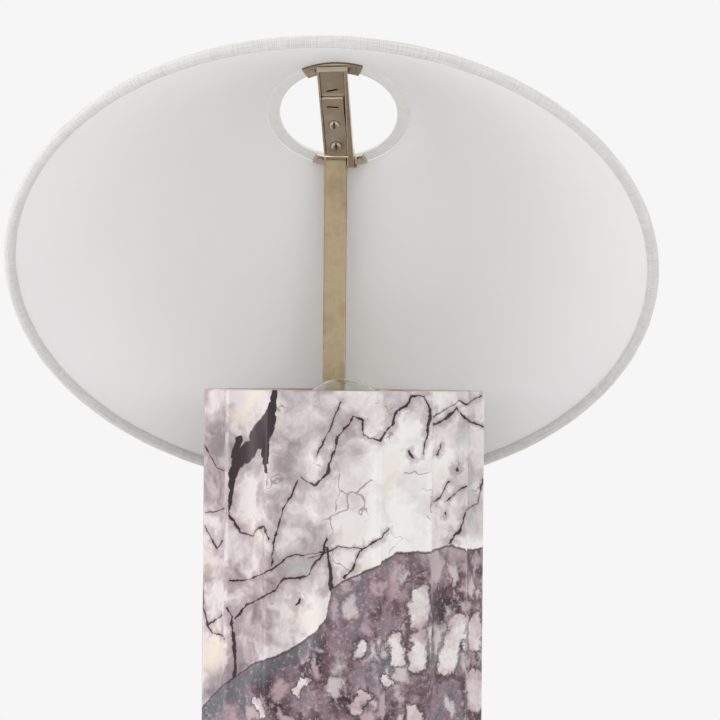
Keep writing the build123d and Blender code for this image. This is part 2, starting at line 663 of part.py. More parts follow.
def flat_screw(face, end):
    """Countersunk screw with its face down at `face` and its end at `end`."""
    cone = FLAT_HEAD_RADIUS - SCREW_RADIUS
    return turned(
        (0, face), (FLAT_HEAD_RADIUS, face), (SCREW_RADIUS, face + cone), (SCREW_RADIUS, end), (0, end)
    )


def web_screw():
    return Pos(STRIP_MIDDLE, WEB_SCREW_Y, 0) * flat_screw(WEB_BOTTOM, SADDLE_TOP)


def block_screw():
    return Pos(STRIP_MIDDLE, BLOCK_Y, 0) * flat_screw(BLOCK_BOTTOM, SADDLE_TOP)


def leaf_screw_shanks():
    shank = disc(SCREW_RADIUS, LEAF_BOTTOM, WEB_TOP)
    return [Pos(STRIP_MIDDLE, y, 0) * shank for y in LEAF_SCREW_YS]


def front_saddle():
    """Curved saddle under the front of the top ring, with the tongue that the channel is screwed to."""
    outer = COLLAR_RADIUS - SADDLE_INSET
    saddle = sector(HOLE_RADIUS, outer, FRONT_SADDLE_ANGLE, FRONT, WEB_TOP, SADDLE_TOP)
    left = STRIP_MIDDLE - SADDLE_TONGUE_WIDTH / 2
    right = STRIP_MIDDLE + SADDLE_TONGUE_WIDTH / 2
    tongue = block(left, right, -HOLE_RADIUS - SADDLE_THICKNESS, BLOCK_REAR, WEB_TOP, SADDLE_TOP)
    saddle += skewed(tongue - web_screw() - block_screw())
    for shank in rivet_shanks((FRONT,)):
        saddle -= shank
    return saddle


def rear_saddle():
    """Curved saddle under the rear of the top ring, brazed to the ear's top edge."""
    inner = HOLE_RADIUS + REAR_SADDLE_INSET
    outer = COLLAR_RADIUS - SADDLE_INSET
    saddle = sector(inner, outer, REAR_SADDLE_ANGLE, REAR, WEB_TOP, SADDLE_TOP)
    for shank in rivet_shanks((REAR,)):
        saddle -= shank
    return saddle


def wall_side(front, rear):
    """The right wall's depth, between two places along the bracket."""
    reach = PIVOT_Y - CHANNEL_FRONT
    fall = (PIVOT_DROP + EAR_RADIUS + WEB_TOP - CHANNEL_DEPTH) / reach
    depths = [WEB_TOP - CHANNEL_DEPTH - fall * (y - CHANNEL_FRONT) for y in (front, rear)]
    outline = Polyline((front, WEB_TOP), (rear, WEB_TOP), (rear, depths[1]), (front, depths[0]), close=True)
    return extrude(Plane.YZ * make_face(outline), CHANNEL_WIDTH, dir=(1, 0, 0))


def right_wall():
    """Right wall of the channel, which thickens and deepens towards the hinge."""
    front_inner = CHANNEL_RIGHT - CHANNEL_RIGHT_WALL
    plan = make_face(Polyline(
        (CHANNEL_RIGHT, CHANNEL_FRONT),
        (CHANNEL_RIGHT, WEB_REAR),
        (EAR_INNER, WEB_REAR),
        (front_inner, CHANNEL_FRONT),
        close=True,
    ))
    bottom = -PIVOT_DROP - EAR_RADIUS
    wall = wall_side(CHANNEL_FRONT, WEB_REAR)
    wall &= Pos(0, 0, bottom) * extrude(plan, WEB_TOP - bottom, dir=(0, 0, 1))
    low_edges = [edge for edge in wall.edges() if edge.center().Z < WEB_TOP - CHANNEL_DEPTH]
    return fillet([edge for edge in low_edges if edge.length > CHANNEL_WIDTH], EDGE_ROUND)


def hinge_ear():
    """The wall's end, square to the hinge axis and rounded about it."""
    ear = wall_side(WEB_REAR - CHANNEL_RIGHT_WALL, PIVOT_Y)
    ear &= block(EAR_INNER, CHANNEL_RIGHT, CHANNEL_FRONT, PIVOT_Y, -PIVOT_DROP - EAR_RADIUS, WEB_TOP)
    ear += Pos(0, PIVOT_Y, -PIVOT_DROP) * along_x(disc(EAR_RADIUS, EAR_INNER, CHANNEL_RIGHT))
    top = block(EAR_INNER, CHANNEL_RIGHT, PIVOT_Y, PIVOT_Y + EAR_RADIUS, -PIVOT_DROP, WEB_TOP)
    ear = (ear + top) & block(EAR_INNER, CHANNEL_RIGHT, 0, 2 * PIVOT_Y, -2 * PIVOT_Y, WEB_TOP)
    bore = disc(HINGE_PIN_RADIUS + HINGE_PIN_FIT, 0, CHANNEL_WIDTH)
    return ear - Pos(0, PIVOT_Y, -PIVOT_DROP) * along_x(bore)


def left_wall():
    """Left wall of the channel and the lip at its front end."""
    low = WEB_TOP - CHANNEL_DEPTH
    inner = CHANNEL_LEFT + CHANNEL_LEFT_WALL
    lip = CHANNEL_FRONT + CHANNEL_LIP
    wall = block(CHANNEL_LEFT, inner, CHANNEL_FRONT, WEB_REAR, low, WEB_TOP)
    wall += block(CHANNEL_LEFT, WEB_RIGHT, CHANNEL_FRONT, lip, low, WEB_TOP)
    return fillet(wall.edges().filter_by_position(Axis.Z, low, low), EDGE_ROUND)


def bracket_channel():
    """Shallow brass channel across the top hole, open towards the room, with the hinge ear."""
    channel = block(CHANNEL_LEFT, WEB_RIGHT, CHANNEL_FRONT, WEB_REAR, WEB_BOTTOM, WEB_TOP)
    channel += left_wall()
    channel += right_wall()
    for cut in (web_screw(), block_screw(), *leaf_screw_shanks()):
        channel -= cut
    return skewed(channel) + hinge_ear()


def friction_leaf():
    """Spring leaf whose end, square to the mast, bears on the mast's rounded top."""
    leaf = block(STRIP_LEFT, STRIP_RIGHT, BLOCK_REAR, PIVOT_Y, LEAF_BOTTOM, WEB_BOTTOM)
    for shank in leaf_screw_shanks():
        leaf -= shank
    return skewed(leaf) & block(CHANNEL_LEFT, EAR_INNER, -HOLE_RADIUS, LEAF_REAR, LEAF_BOTTOM, WEB_BOTTOM)


def leaf_screws():
    """Two slotted screws with rounded heads."""
    face = LEAF_BOTTOM - PAN_HEAD_HEIGHT
    head = disc(PAN_HEAD_RADIUS, face, LEAF_BOTTOM)
    head = fillet(head.edges().filter_by_position(Axis.Z, face, face), PAN_HEAD_ROUND)
    screw = head + disc(SCREW_RADIUS, LEAF_BOTTOM, WEB_TOP)
    screw -= driver_slot(PAN_HEAD_RADIUS, face, turn=90)
    return [skewed(Pos(STRIP_MIDDLE, y, 0) * screw) for y in LEAF_SCREW_YS]


def stop_block():
    """Block that backs the leaf's front end, its face's edges eased."""
    body = block(STRIP_LEFT, STRIP_RIGHT, BLOCK_FRONT, BLOCK_REAR, BLOCK_BOTTOM, WEB_BOTTOM)
    body = fillet(body.edges().filter_by_position(Axis.Z, BLOCK_BOTTOM, BLOCK_BOTTOM), EDGE_ROUND)
    return skewed(body - block_screw())


def bracket_screws():
    """Two flush slotted screws into the front saddle's tongue."""
    web_slot = driver_slot(FLAT_HEAD_RADIUS, WEB_BOTTOM, WEB_SCREW_SLOT_TURN)
    block_slot = driver_slot(FLAT_HEAD_RADIUS, BLOCK_BOTTOM, BLOCK_SCREW_SLOT_TURN)
    return [
        skewed(web_screw() - Pos(STRIP_MIDDLE, WEB_SCREW_Y, 0) * web_slot),
        skewed(block_screw() - Pos(STRIP_MIDDLE, BLOCK_Y, 0) * block_slot),
    ]


def hinge_washer():
    """Friction washer between the mast and the ear."""
    bore = HINGE_PIN_RADIUS + HINGE_PIN_FIT
    washer = tube(HINGE_WASHER_RADIUS, bore, MAST_RIGHT + HINGE_SIDE_PLAY, EAR_INNER)
    return Pos(0, PIVOT_Y, -PIVOT_DROP) * along_x(washer)


BASE_PIECES = (
    marble_column, base_felt, base_plate, tie_tube, tie_nuts, tie_washers, cord_gland,
    terminal_block, terminal_screws, inner_leads, top_plate, lamp_cup, mast, mast_screws, hinge_pin,
    lampholder_base, lampholder_insert, lampholder_sleeve, lampholder_shell, lampholder_contact,
    bulb_glass, bulb_cap, bulb_insulator, bulb_button, bulb_stem, bulb_filaments, filament_spokes,
)
SHADE_PIECES = (
    shade_lining, shade_cover, bottom_ring, rim_binding, top_ring, top_binding, saddle_rivets,
    front_saddle, rear_saddle, bracket_channel, friction_leaf, leaf_screws, stop_block,
    bracket_screws, hinge_washer,
)


def solids_of(pieces):
    """Every solid of a node, which may be one piece or a list of like pieces."""
    group = pieces if isinstance(pieces, list) else [pieces]
    return [solid for piece in group for solid in piece.solids()]


os.makedirs("parts", exist_ok=True)
for make in BASE_PIECES:
    export_step(Compound(children=solids_of(make())), f"parts/{make.__name__}.step")
for make in SHADE_PIECES:
    placed = [in_shade_frame(solid) for solid in solids_of(make())]
    export_step(Compound(children=placed), f"parts/{make.__name__}.step")
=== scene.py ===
import json
from math import atan2, cos, pi, radians, sin

import bpy
from mathutils import Matrix, Vector


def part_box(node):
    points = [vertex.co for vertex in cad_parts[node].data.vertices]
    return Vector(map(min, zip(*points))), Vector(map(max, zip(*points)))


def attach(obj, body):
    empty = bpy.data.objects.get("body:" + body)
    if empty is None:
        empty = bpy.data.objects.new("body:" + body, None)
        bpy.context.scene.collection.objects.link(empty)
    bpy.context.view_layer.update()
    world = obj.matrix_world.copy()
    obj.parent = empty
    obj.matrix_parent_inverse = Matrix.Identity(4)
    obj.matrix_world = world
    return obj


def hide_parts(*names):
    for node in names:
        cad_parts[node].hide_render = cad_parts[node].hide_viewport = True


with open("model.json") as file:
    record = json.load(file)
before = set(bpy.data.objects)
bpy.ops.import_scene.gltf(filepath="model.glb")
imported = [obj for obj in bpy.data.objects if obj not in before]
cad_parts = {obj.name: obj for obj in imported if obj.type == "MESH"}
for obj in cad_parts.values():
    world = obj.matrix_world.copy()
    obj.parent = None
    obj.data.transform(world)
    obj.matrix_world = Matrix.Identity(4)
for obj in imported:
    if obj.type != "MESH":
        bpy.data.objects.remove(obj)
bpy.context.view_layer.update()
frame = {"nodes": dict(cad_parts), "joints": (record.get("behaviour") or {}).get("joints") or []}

# A column table lamp, built up as it is put together: studio, foot, marble, brass, bulb, shade.
# Metres, +Z up, the front is -Y. The "shade frame" has its origin at the middle of the shade's top
# hole and its z along the shade's axis.

# ---- camera ----
# A long lens straight at the upper half of the lamp, level, from a little right of the front.
CAMERA_DISTANCE = 1.533
CAMERA_HEIGHT = 0.314
CAMERA_SIDE = 0.0076
CAMERA_AZIMUTH = radians(1.8)
CAMERA_ROLL = radians(0.5)
CAMERA_LENS = 163.0

camera_turn = Matrix.Rotation(CAMERA_AZIMUTH, 4, "Z")
camera_place = camera_turn @ Vector((CAMERA_SIDE, -CAMERA_DISTANCE, CAMERA_HEIGHT))
camera_aim = camera_turn @ Matrix.Rotation(pi / 2, 4, "X") @ Matrix.Rotation(CAMERA_ROLL, 4, "Z")
bpy.ops.object.camera_add(location=camera_place, rotation=camera_aim.to_euler())
bpy.context.scene.camera = bpy.context.object
bpy.context.object.name = "camera"
bpy.context.object.data.lens = CAMERA_LENS
bpy.context.object.data.sensor_width = 36.0
bpy.context.scene.view_settings.view_transform = "Standard"


# ---- studio ----
# A pale floor under a pale surround, lit by large soft boxes: a strong one from the left, weaker
# ones from the right and above. The floor fades into the surround's even tone away from the lamp.
SURROUND = "#F6F6F6"
FLOOR_PAINT = "#EFEFEF"
FLOOR_SIZE = 8.0
FLOOR_FADE_FROM = 0.35
FLOOR_FADE_TO = 0.9
AMBIENT = 0.93
LAMP_MIDDLE = 0.30


def linear(code):
    """An sRGB hex colour as linear red, green, blue and alpha."""
    parts = [int(code[i:i + 2], 16) / 255 for i in (1, 3, 5)]
    return (*(c / 12.92 if c <= 0.04045 else ((c + 0.055) / 1.055) ** 2.4 for c in parts), 1.0)


def add(tree, kind, inputs, out=0, stops=(), **settings):
    """Adds a node with its settings, its ramp's (position, colour) stops and its inputs, each a
    value or another node's output, and gives back the output called or numbered `out`."""
    node = tree.nodes.new(kind)
    for name, value in settings.items():
        setattr(node, name, value)
    for position, _ in stops[2:]:
        node.color_ramp.elements.new(position)
    for element, (position, code) in zip(node.color_ramp.elements if stops else (), stops):
        element.position = position
        element.color = linear(code)
    for key, value in inputs.items():
        if isinstance(value, bpy.types.NodeSocket):
            tree.links.new(value, node.inputs[key])
        else:
            node.inputs[key].default_value = value
    return node.outputs[out] if node.outputs else node


def fresh_tree(owner):
    """The owner's node tree, emptied."""
    owner.use_nodes = True
    owner.node_tree.nodes.clear()
    return owner.node_tree


def seen_directly(tree):
    """1 for rays from the camera, from a mirror-like surface or through glass."""
    straight = add(tree, "ShaderNodeLightPath", {}, out="Is Camera Ray")
    mirrored = add(tree, "ShaderNodeLightPath", {}, out="Is Glossy Ray")
    through = add(tree, "ShaderNodeLightPath", {}, out="Is Transmission Ray")
    seen = add(tree, "ShaderNodeMath", {0: straight, 1: mirrored}, operation="MAXIMUM")
    return add(tree, "ShaderNodeMath", {0: seen, 1: through}, operation="MAXIMUM")


surround = bpy.data.worlds.new("studio_surround")
bpy.context.scene.world = surround
tree = fresh_tree(surround)
even = add(tree, "ShaderNodeBackground", {"Color": linear("#FFFFFF"), "Strength": AMBIENT})
shown = add(tree, "ShaderNodeBackground", {"Color": linear(SURROUND), "Strength": 1.0})
either = add(tree, "ShaderNodeMixShader", {0: seen_directly(tree), 1: even, 2: shown})
add(tree, "ShaderNodeOutputWorld", {"Surface": either})

bpy.ops.object.select_all(action="DESELECT")
bpy.ops.mesh.primitive_plane_add(size=FLOOR_SIZE)
floor = bpy.context.object
floor.name = "floor"
floor_paint = bpy.data.materials.new("matt_floor_paint")
tree = fresh_tree(floor_paint)
painted = add(tree, "ShaderNodeBsdfDiffuse", {"Color": linear(FLOOR_PAINT)})
glow = add(tree, "ShaderNodeEmission", {"Color": linear(SURROUND), "Strength": 1.0})
place = add(tree, "ShaderNodeTexCoord", {}, out="Object")
away = add(tree, "ShaderNodeVectorMath", {0: place}, out="Value", operation="LENGTH")
fade = add(tree, "ShaderNodeMapRange", {
    "Value": away, "From Min": FLOOR_FADE_FROM, "From Max": FLOOR_FADE_TO,
}, interpolation_type="SMOOTHSTEP")
share = add(tree, "ShaderNodeMath", {0: fade, 1: seen_directly(tree)}, operation="MULTIPLY")
mixed = add(tree, "ShaderNodeMixShader", {0: share, 1: painted, 2: glow})
add(tree, "ShaderNodeOutputMaterial", {"Surface": mixed})
floor.data.materials.append(floor_paint)


def soft_box(name, azimuth, elevation, distance, width, height, power):
    """A rectangular soft box aimed at the middle of the lamp from a direction in degrees."""
    target = Vector((0.0, 0.0, LAMP_MIDDLE))
    turn = Matrix.Rotation(radians(azimuth), 4, "Z") @ Matrix.Rotation(radians(-elevation), 4, "X")
    offset = turn @ Vector((0.0, -distance, 0.0))
    aim = (-offset).to_track_quat("-Z", "Y").to_euler()
    bpy.ops.object.light_add(type="AREA", location=target + offset, rotation=aim)
    box = bpy.context.object
    box.name = name
    box.data.shape = "RECTANGLE"
    box.data.size = width
    box.data.size_y = height
    box.data.energy = power


soft_box("left_soft_box", -80, 5, 1.6, 0.3, 1.6, 9.0)
soft_box("right_soft_box", 52, 0, 1.8, 0.6, 1.6, 2.5)
soft_box("top_soft_box", 0, 72, 1.6, 1.2, 1.2, 3.0)


# ---- felt foot ----
# Needled wool felt, 2 mm thick, glued under the marble. Its cut edge is a little fuzzy and rounded.
FELT_GREY = "#3A3836"
FELT_HAIR = "#5A5754"
FELT_EDGE = 0.0006


def start_piece(primitive, **sizes):
    """A new primitive, alone selected, as the start of a piece."""
    bpy.ops.object.select_all(action="DESELECT")
    primitive(**sizes)
    bpy.ops.object.transform_apply(location=True, rotation=True, scale=True)
    return bpy.context.object


def apply_modifiers(piece):
    for modifier in list(piece.modifiers):
        bpy.ops.object.modifier_apply(modifier=modifier.name)


def finish_piece(piece, name, body, slot, material, *nodes):
    """Names a finished piece, paints it and puts it on its body in place of CAD nodes."""
    piece.name = name
    piece.data.materials.clear()
    piece.data.materials.append(material)
    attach(piece, body)
    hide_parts(*nodes)


felt_low, felt_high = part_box("base_felt")
felt = start_piece(
    bpy.ops.mesh.primitive_cylinder_add,
    vertices=96, radius=felt_high.x, depth=felt_high.z - felt_low.z,
    location=(0, 0, (felt_high.z + felt_low.z) / 2),
)
rounding = felt.modifiers.new("cut_edge", "BEVEL")
rounding.width = FELT_EDGE
rounding.segments = 3
apply_modifiers(felt)
bpy.ops.object.shade_smooth_by_angle(angle=radians(50))

# Short matted fibres: no gloss, and a speckle of lighter hairs.
wool_felt = bpy.data.materials.new("needled_wool_felt")
tree = fresh_tree(wool_felt)
place = add(tree, "ShaderNodeTexCoord", {}, out="Object")
hairs = add(tree, "ShaderNodeTexNoise", {"Vector": place, "Scale": 1800.0, "Detail": 3.0})
tone = add(tree, "ShaderNodeValToRGB", {"Fac": hairs}, stops=((0.35, FELT_GREY), (0.7, FELT_HAIR)))
relief = add(tree, "ShaderNodeBump", {"Height": hairs, "Strength": 0.6, "Distance": 0.0004})
skin = add(tree, "ShaderNodeBsdfPrincipled", {"Base Color": tone, "Roughness": 0.95, "Normal": relief})
add(tree, "ShaderNodeOutputMaterial", {"Surface": skin})
finish_piece(felt, "felt_foot", "base", "felt", wool_felt, "base_felt")


# ---- marble column ----
# One turned and fluted block of a white marble with dark violet veins, ground and polished. Below a
# slanting seam the stone is broken: white and rose pieces lie in a violet and grey mass.
COLUMN_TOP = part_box("marble_column")[1].z
VEIN_VIOLET = "#2C1B23"
VEIN_EDGE = "#A08A94"
WHITE_TONES = ((0.34, "#B5A7AA"), (0.46, "#DDD5D4"), (0.58, "#F0EDEB"))
# the left's rose tones are darker than the stone alone: partly painted shade
ROSE_AND_SHADED_TONES = ((0.40, "#857679"), (0.49, "#B7A8AB"), (0.58, "#E0D5D5"))
CREAM_STAIN = "#E8DCCB"
GREEN_STAIN = "#B4B6AF"
CRACK_GREY = "#8C7C84"
MASS_TONES = ((0.38, "#36252D"), (0.46, "#624751"), (0.53, "#8E7780"), (0.62, "#5F6268"))
MASS_GREY = "#5F6166"
GRIT_ROSE = "#C3B1B6"
PIECE_TONES = ((0.50, "#A98A93"), (0.64, "#CDBABE"), (0.80, "#B898A1"), (0.92, "#DDD2D2"))
PALE_TONES = ((0.40, "#B4939C"), (0.50, "#D6C6C8"), (0.60, "#E9E4E2"))
CRACK_SPACING = 0.024
REAR_VEIN_SPACING = 0.042
SMALL_PIECE_SPACING = 0.0075
MIDDLE_PIECE_SPACING = 0.015
CLOUDS_PER_METRE = 30.0
STAINS_PER_METRE = 31.0
PATCHES_PER_METRE = 36.0
SWELLS_PER_METRE = 55.0       # where hair cracks and the veins behind widen
PINCHES_PER_METRE = 240.0     # where the veins in front widen and narrow
GRIT_PER_METRE = 520.0
# What pushes the patterns about: waves per metre, full swing in metres, octaves, roughness.
CLOUD_DRIFT = (22.0, 0.05, 4.0, 0.62)
VEIN_DRIFT = (160.0, 0.0035, 4.0, 0.65)
PIECE_DRIFT = (95.0, 0.014, 5.0, 0.7)
BEHIND_FADE = 0.004           # half the depth over which the front's veins give way
MILLIMETRES = 1000.0          # in a metre

# The veins that show at the front, and the dark lens that one swells to. Points are (across, down
# # from the top face, half the vein's width) in millimetres. Most of these points, and of those of the
# # seam and the pale pieces below, were read off as pixels of the photograph, and a separate program
# # carried them onto the fluted face and rounded them. The other points, and most of the widths,
# # aren't that program's.
DARK_LENS = (
    ((-29.0, 1.0, 1.4), (-30.0, 7.0, 2.0), (-31.5, 13.0, 3.0), (-34.0, 18.0, 4.6), (-36.5, 22.5, 5.4)),
    ((-33.0, 24.5, 2.4), (-33.5, 29.0, 1.6), (-33.0, 33.0, 0.9), (-32.5, 37.5, 0.4)),
    ((-41.0, 27.0, 4.4), (-44.0, 30.5, 3.2), (-46.5, 33.5, 2.6), (-48.5, 39.0, 1.8)),
    ((-48.5, 39.0, 1.8), (-49.5, 44.5, 1.1), (-50.0, 49.0, 0.8)),
    ((-46.0, 22.5, 1.8), (-48.0, 30.0, 1.6)),
)
FRONT_VEINS = (
    ((-50.0, 49.0, 0.8), (-50.5, 58.0, 0.8), (-45.5, 65.0, 0.6), (-39.5, 67.0, 0.5), (-36.5, 63.0, 0.5)),
    ((-36.5, 63.0, 0.5), (-33.5, 62.0, 0.8), (-31.0, 67.5, 0.6)),
    ((-16.5, 39.0, 0.4), (-10.5, 42.5, 0.6), (-4.5, 37.5, 0.7), (0.0, 21.0, 0.7), (6.0, 13.0, 0.6)),
    ((-18.0, 41.0, 0.3), (-24.5, 53.0, 0.8), (-28.5, 66.0, 0.4), (-30.0, 79.5, 0.3)),
    ((-9.5, 29.0, 0.4), (-4.0, 18.0, 0.5), (1.0, 5.0, 0.3)),
    ((-64.0, 26.0, 0.3), (-57.5, 36.5, 0.4), (-53.5, 38.0, 0.2)),
    ((-63.5, 64.0, 0.5), (-57.0, 74.0, 0.7), (-54.5, 70.0, 0.3)),
    ((-63.0, 58.0, 0.4), (-53.5, 55.5, 0.4)),
    ((0.5, 20.5, 0.5), (7.0, 11.5, 0.6), (11.5, 13.0, 0.5), (11.0, 19.0, 0.4), (14.0, 21.0, 0.4)),
    ((14.0, 21.0, 0.4), (19.0, 22.0, 0.4), (24.0, 15.5, 0.8), (26.0, 9.0, 0.7), (31.5, 5.0, 0.7)),
    ((31.5, 5.0, 0.7), (32.5, 2.0, 0.6), (38.5, 2.0, 0.5), (41.0, 8.0, 0.8), (41.0, 13.0, 0.8)),
    ((41.0, 13.0, 0.8), (40.0, 20.0, 0.5), (38.5, 28.5, 0.5)),
    ((43.0, 15.0, 0.5), (49.0, 12.5, 0.8), (53.5, 7.5, 0.6), (58.5, 13.5, 0.5), (66.0, 17.0, 0.7)),
    ((42.5, 11.5, 0.3), (52.0, 6.0, 0.3), (54.5, 3.5, 0.4), (58.0, 6.0, 0.3), (64.5, 2.0, 0.4)),
    ((45.0, 29.0, 0.7), (46.0, 24.5, 0.3)),
    ((43.5, 50.5, 0.4), (46.0, 49.0, 0.6), (50.0, 41.5, 0.3)),
    ((49.0, 50.5, 0.4), (52.0, 47.0, 0.5), (58.0, 43.5, 0.3)),
    ((59.0, 54.5, 0.4), (63.5, 52.5, 0.5), (66.0, 41.0, 0.3)),
    ((51.0, 69.5, 1.0), (55.0, 64.0, 0.8), (58.5, 54.5, 0.3)),
    ((-13.5, 76.0, 0.4), (1.5, 70.0, 0.4), (11.5, 71.0, 0.4), (20.0, 66.0, 0.5), (23.0, 62.0, 0.5)),
    ((3.0, 84.5, 0.6), (7.0, 80.5, 0.5), (10.0, 72.0, 0.5), (13.0, 70.5, 0.3)),
    ((-47.0, 104.5, 0.6), (-41.5, 98.0, 0.7), (-29.0, 91.5, 0.5), (-24.0, 85.0, 0.5), (-19.0, 84.5, 0.4)),
    ((-19.0, 84.5, 0.4), (-13.5, 83.5, 0.7), (-6.0, 72.5, 0.7), (-4.5, 66.5, 0.4)),
    ((-50.0, 88.0, 0.3), (-40.0, 86.5, 0.5), (-29.5, 81.0, 0.4), (-22.5, 75.5, 0.6), (-7.0, 72.5, 0.3)),
    ((-51.0, 100.5, 0.6), (-48.5, 104.0, 0.7), (-47.0, 122.5, 1.1), (-47.0, 132.0, 0.6)),
    ((-64.0, 90.5, 0.4), (-63.5, 102.0, 0.5), (-61.0, 109.5, 0.6), (-54.5, 104.0, 0.4)),
    ((-61.0, 109.5, 0.6), (-59.0, 113.5, 0.7), (-53.0, 114.0, 0.3)),
    ((-18.5, 97.0, 0.9), (-17.0, 94.5, 0.9)),
    ((-4.5, 70.5, 0.8), (-3.0, 82.5, 0.8), (-2.5, 90.0, 1.1)),
    ((34.0, 30.5, 0.6), (32.0, 27.0, 0.5)),
    ((53.5, 35.5, 0.8), (53.7, 36.0, 0.8)),
    ((48.5, 55.5, 0.7), (48.7, 56.5, 0.6)),
)
# The seam over the broken stone, as (across, down) in millimetres.
SEAM = (
    (-66.0, 151.0), (-60.0, 144.5), (-53.0, 136.0), (-37.5, 124.5), (-22.0, 118.0), (-9.5, 109.5),
    (-5.0, 103.0), (-2.5, 89.5), (3.0, 86.0), (16.5, 79.5), (26.0, 73.5), (41.0, 73.0),
    (51.5, 70.5), (60.0, 74.0), (66.0, 73.5),
)
SEAM_REACH = 200.0            # the seam's curve runs this far down, and to each side of 0.5
PALE_PIECES = (
    ((37.5, 93.0, 4.6), (37.0, 105.0, 4.4)),
    ((36.5, 112.5, 3.4), (37.0, 125.0, 4.4)),
    ((54.5, 106.5, 3.4), (53.0, 117.0, 4.8), (50.0, 126.0, 3.8)),
    ((62.5, 109.0, 4.2), (63.0, 117.0, 3.8)),
    ((63.0, 134.0, 4.0), (63.0, 146.0, 4.4)),
    ((10.5, 117.0, 4.0), (10.0, 118.0, 3.6)),
    ((12.5, 137.0, 3.2), (9.0, 143.0, 2.4)),
    ((26.0, 112.0, 3.2), (28.0, 121.5, 2.6)),
    ((-15.5, 120.5, 3.2), (-14.0, 114.0, 1.6)),
    ((-16.5, 137.0, 2.8), (-14.0, 131.5, 2.0)),
    ((-35.0, 143.5, 2.6), (-34.0, 146.0, 2.0)),
    ((34.5, 145.5, 3.6), (36.0, 150.0, 3.0)),
    ((22.0, 130.0, 2.4), (24.0, 133.0, 1.8)),
)


def nearness(tree, place, routes):
    """How far off the nearest route is, in half widths of that route. `place` is in millimetres,
    across and down from the top face. Only plain vector and number maths is used."""
    nearest = 100.0
    for route in routes:
        for (*start, near_half), (*end, far_half) in zip(route, route[1:]):
            start, end = Vector((start[0], 0.0, start[1])), Vector((end[0], 0.0, end[1]))
            run = end - start
            half = (near_half + far_half) / 2
            low = [min(0.0, step) for step in run]
            high = [max(0.0, step) for step in run]
            own = add(tree, "ShaderNodeVectorMath", {0: place, 1: start}, operation="SUBTRACT")
            foot = add(tree, "ShaderNodeVectorMath", {0: own, 1: run}, operation="PROJECT")
            foot = add(tree, "ShaderNodeVectorMath", {0: foot, 1: low}, operation="MAXIMUM")
            foot = add(tree, "ShaderNodeVectorMath", {0: foot, 1: high}, operation="MINIMUM")
            gap = add(tree, "ShaderNodeVectorMath", {0: own, 1: foot}, out="Value", operation="DISTANCE")
            gap = add(tree, "ShaderNodeMath", {0: gap, 1: 1 / half}, operation="MULTIPLY")
            nearest = add(tree, "ShaderNodeMath", {0: nearest, 1: gap}, operation="MINIMUM")
    return nearest


def adrift(tree, place, scale, swing, detail, roughness):
    """The place, pushed about by a noise."""
    noise = add(tree, "ShaderNodeTexNoise", {
        "Vector": place, "Scale": scale, "Detail": detail, "Roughness": roughness,
    }, out="Color")
    centred = add(tree, "ShaderNodeVectorMath", {0: noise, 1: (0.5, 0.5, 0.5)}, operation="SUBTRACT")
    return add(tree, "ShaderNodeVectorMath", {
        0: centred, 1: (swing, swing, swing), 2: place,
    }, operation="MULTIPLY_ADD")


def across_and_down(tree, place):
    """The place in millimetres: across in x, and down from the top face in z."""
    return add(tree, "ShaderNodeVectorMath", {
        0: place, 1: (MILLIMETRES, 0.0, -MILLIMETRES), 2: (0.0, 0.0, MILLIMETRES * COLUMN_TOP),
    }, operation="MULTIPLY_ADD")


# Calcite, ground and softly polished: a low sheen over clouds of tone that run through the block,
# so each hollow flute cuts them. The drawn veins are roughened by half a millimetre or so.
marble = bpy.data.materials.new("polished_violet_breccia_marble")
tree = fresh_tree(marble)
place = add(tree, "ShaderNodeTexCoord", {}, out="Object")
pushed = adrift(tree, place, *CLOUD_DRIFT)
drawn = across_and_down(tree, adrift(tree, place, *VEIN_DRIFT))
broken = adrift(tree, place, *PIECE_DRIFT)
drawn_broken = across_and_down(tree, broken)
across = add(tree, "ShaderNodeSeparateXYZ", {0: drawn}, out="X")
down = add(tree, "ShaderNodeSeparateXYZ", {0: drawn}, out="Z")
depth = add(tree, "ShaderNodeSeparateXYZ", {0: pushed}, out="Y")
behind = add(tree, "ShaderNodeMapRange", {
    "Value": depth, "From Min": -BEHIND_FADE, "From Max": BEHIND_FADE,
}, interpolation_type="SMOOTHSTEP")

# ground: rose and grey at the left, near white at the right, with cream and green stains. The
# # darker left is partly the stone's rose tone and partly painted shade.
clouds = add(tree, "ShaderNodeTexNoise", {
    "Vector": pushed, "Scale": CLOUDS_PER_METRE, "Detail": 5.0, "Roughness": 0.6,
})
side = add(tree, "ShaderNodeSeparateXYZ", {0: pushed}, out="X")
# rosier and darker toward the left: partly the stone's tone, partly painted shade
whiter_and_lit = add(tree, "ShaderNodeMapRange", {
    "Value": side, "From Min": -0.042, "From Max": 0.028,
}, interpolation_type="SMOOTHSTEP")
rosy_and_shaded = add(tree, "ShaderNodeValToRGB", {"Fac": clouds}, stops=ROSE_AND_SHADED_TONES)
white = add(tree, "ShaderNodeValToRGB", {"Fac": clouds}, stops=WHITE_TONES)
ground = add(tree, "ShaderNodeMix", {0: whiter_and_lit, 6: rosy_and_shaded, 7: white}, out=2, data_type="RGBA")
stains = add(tree, "ShaderNodeTexNoise", {"Vector": place, "Scale": STAINS_PER_METRE, "Detail": 3.0})
cream = add(tree, "ShaderNodeMapRange", {
    "Value": stains, "From Min": 0.56, "From Max": 0.72, "To Max": 0.75,
}, interpolation_type="SMOOTHSTEP")
green = add(tree, "ShaderNodeMapRange", {
    "Value": stains, "From Min": 0.44, "From Max": 0.30, "To Max": 0.75,
}, interpolation_type="SMOOTHSTEP")
ground = add(tree, "ShaderNodeMix", {0: cream, 6: ground, 7: linear(CREAM_STAIN)}, out=2, data_type="RGBA")
ground = add(tree, "ShaderNodeMix", {0: green, 6: ground, 7: linear(GREEN_STAIN)}, out=2, data_type="RGBA")

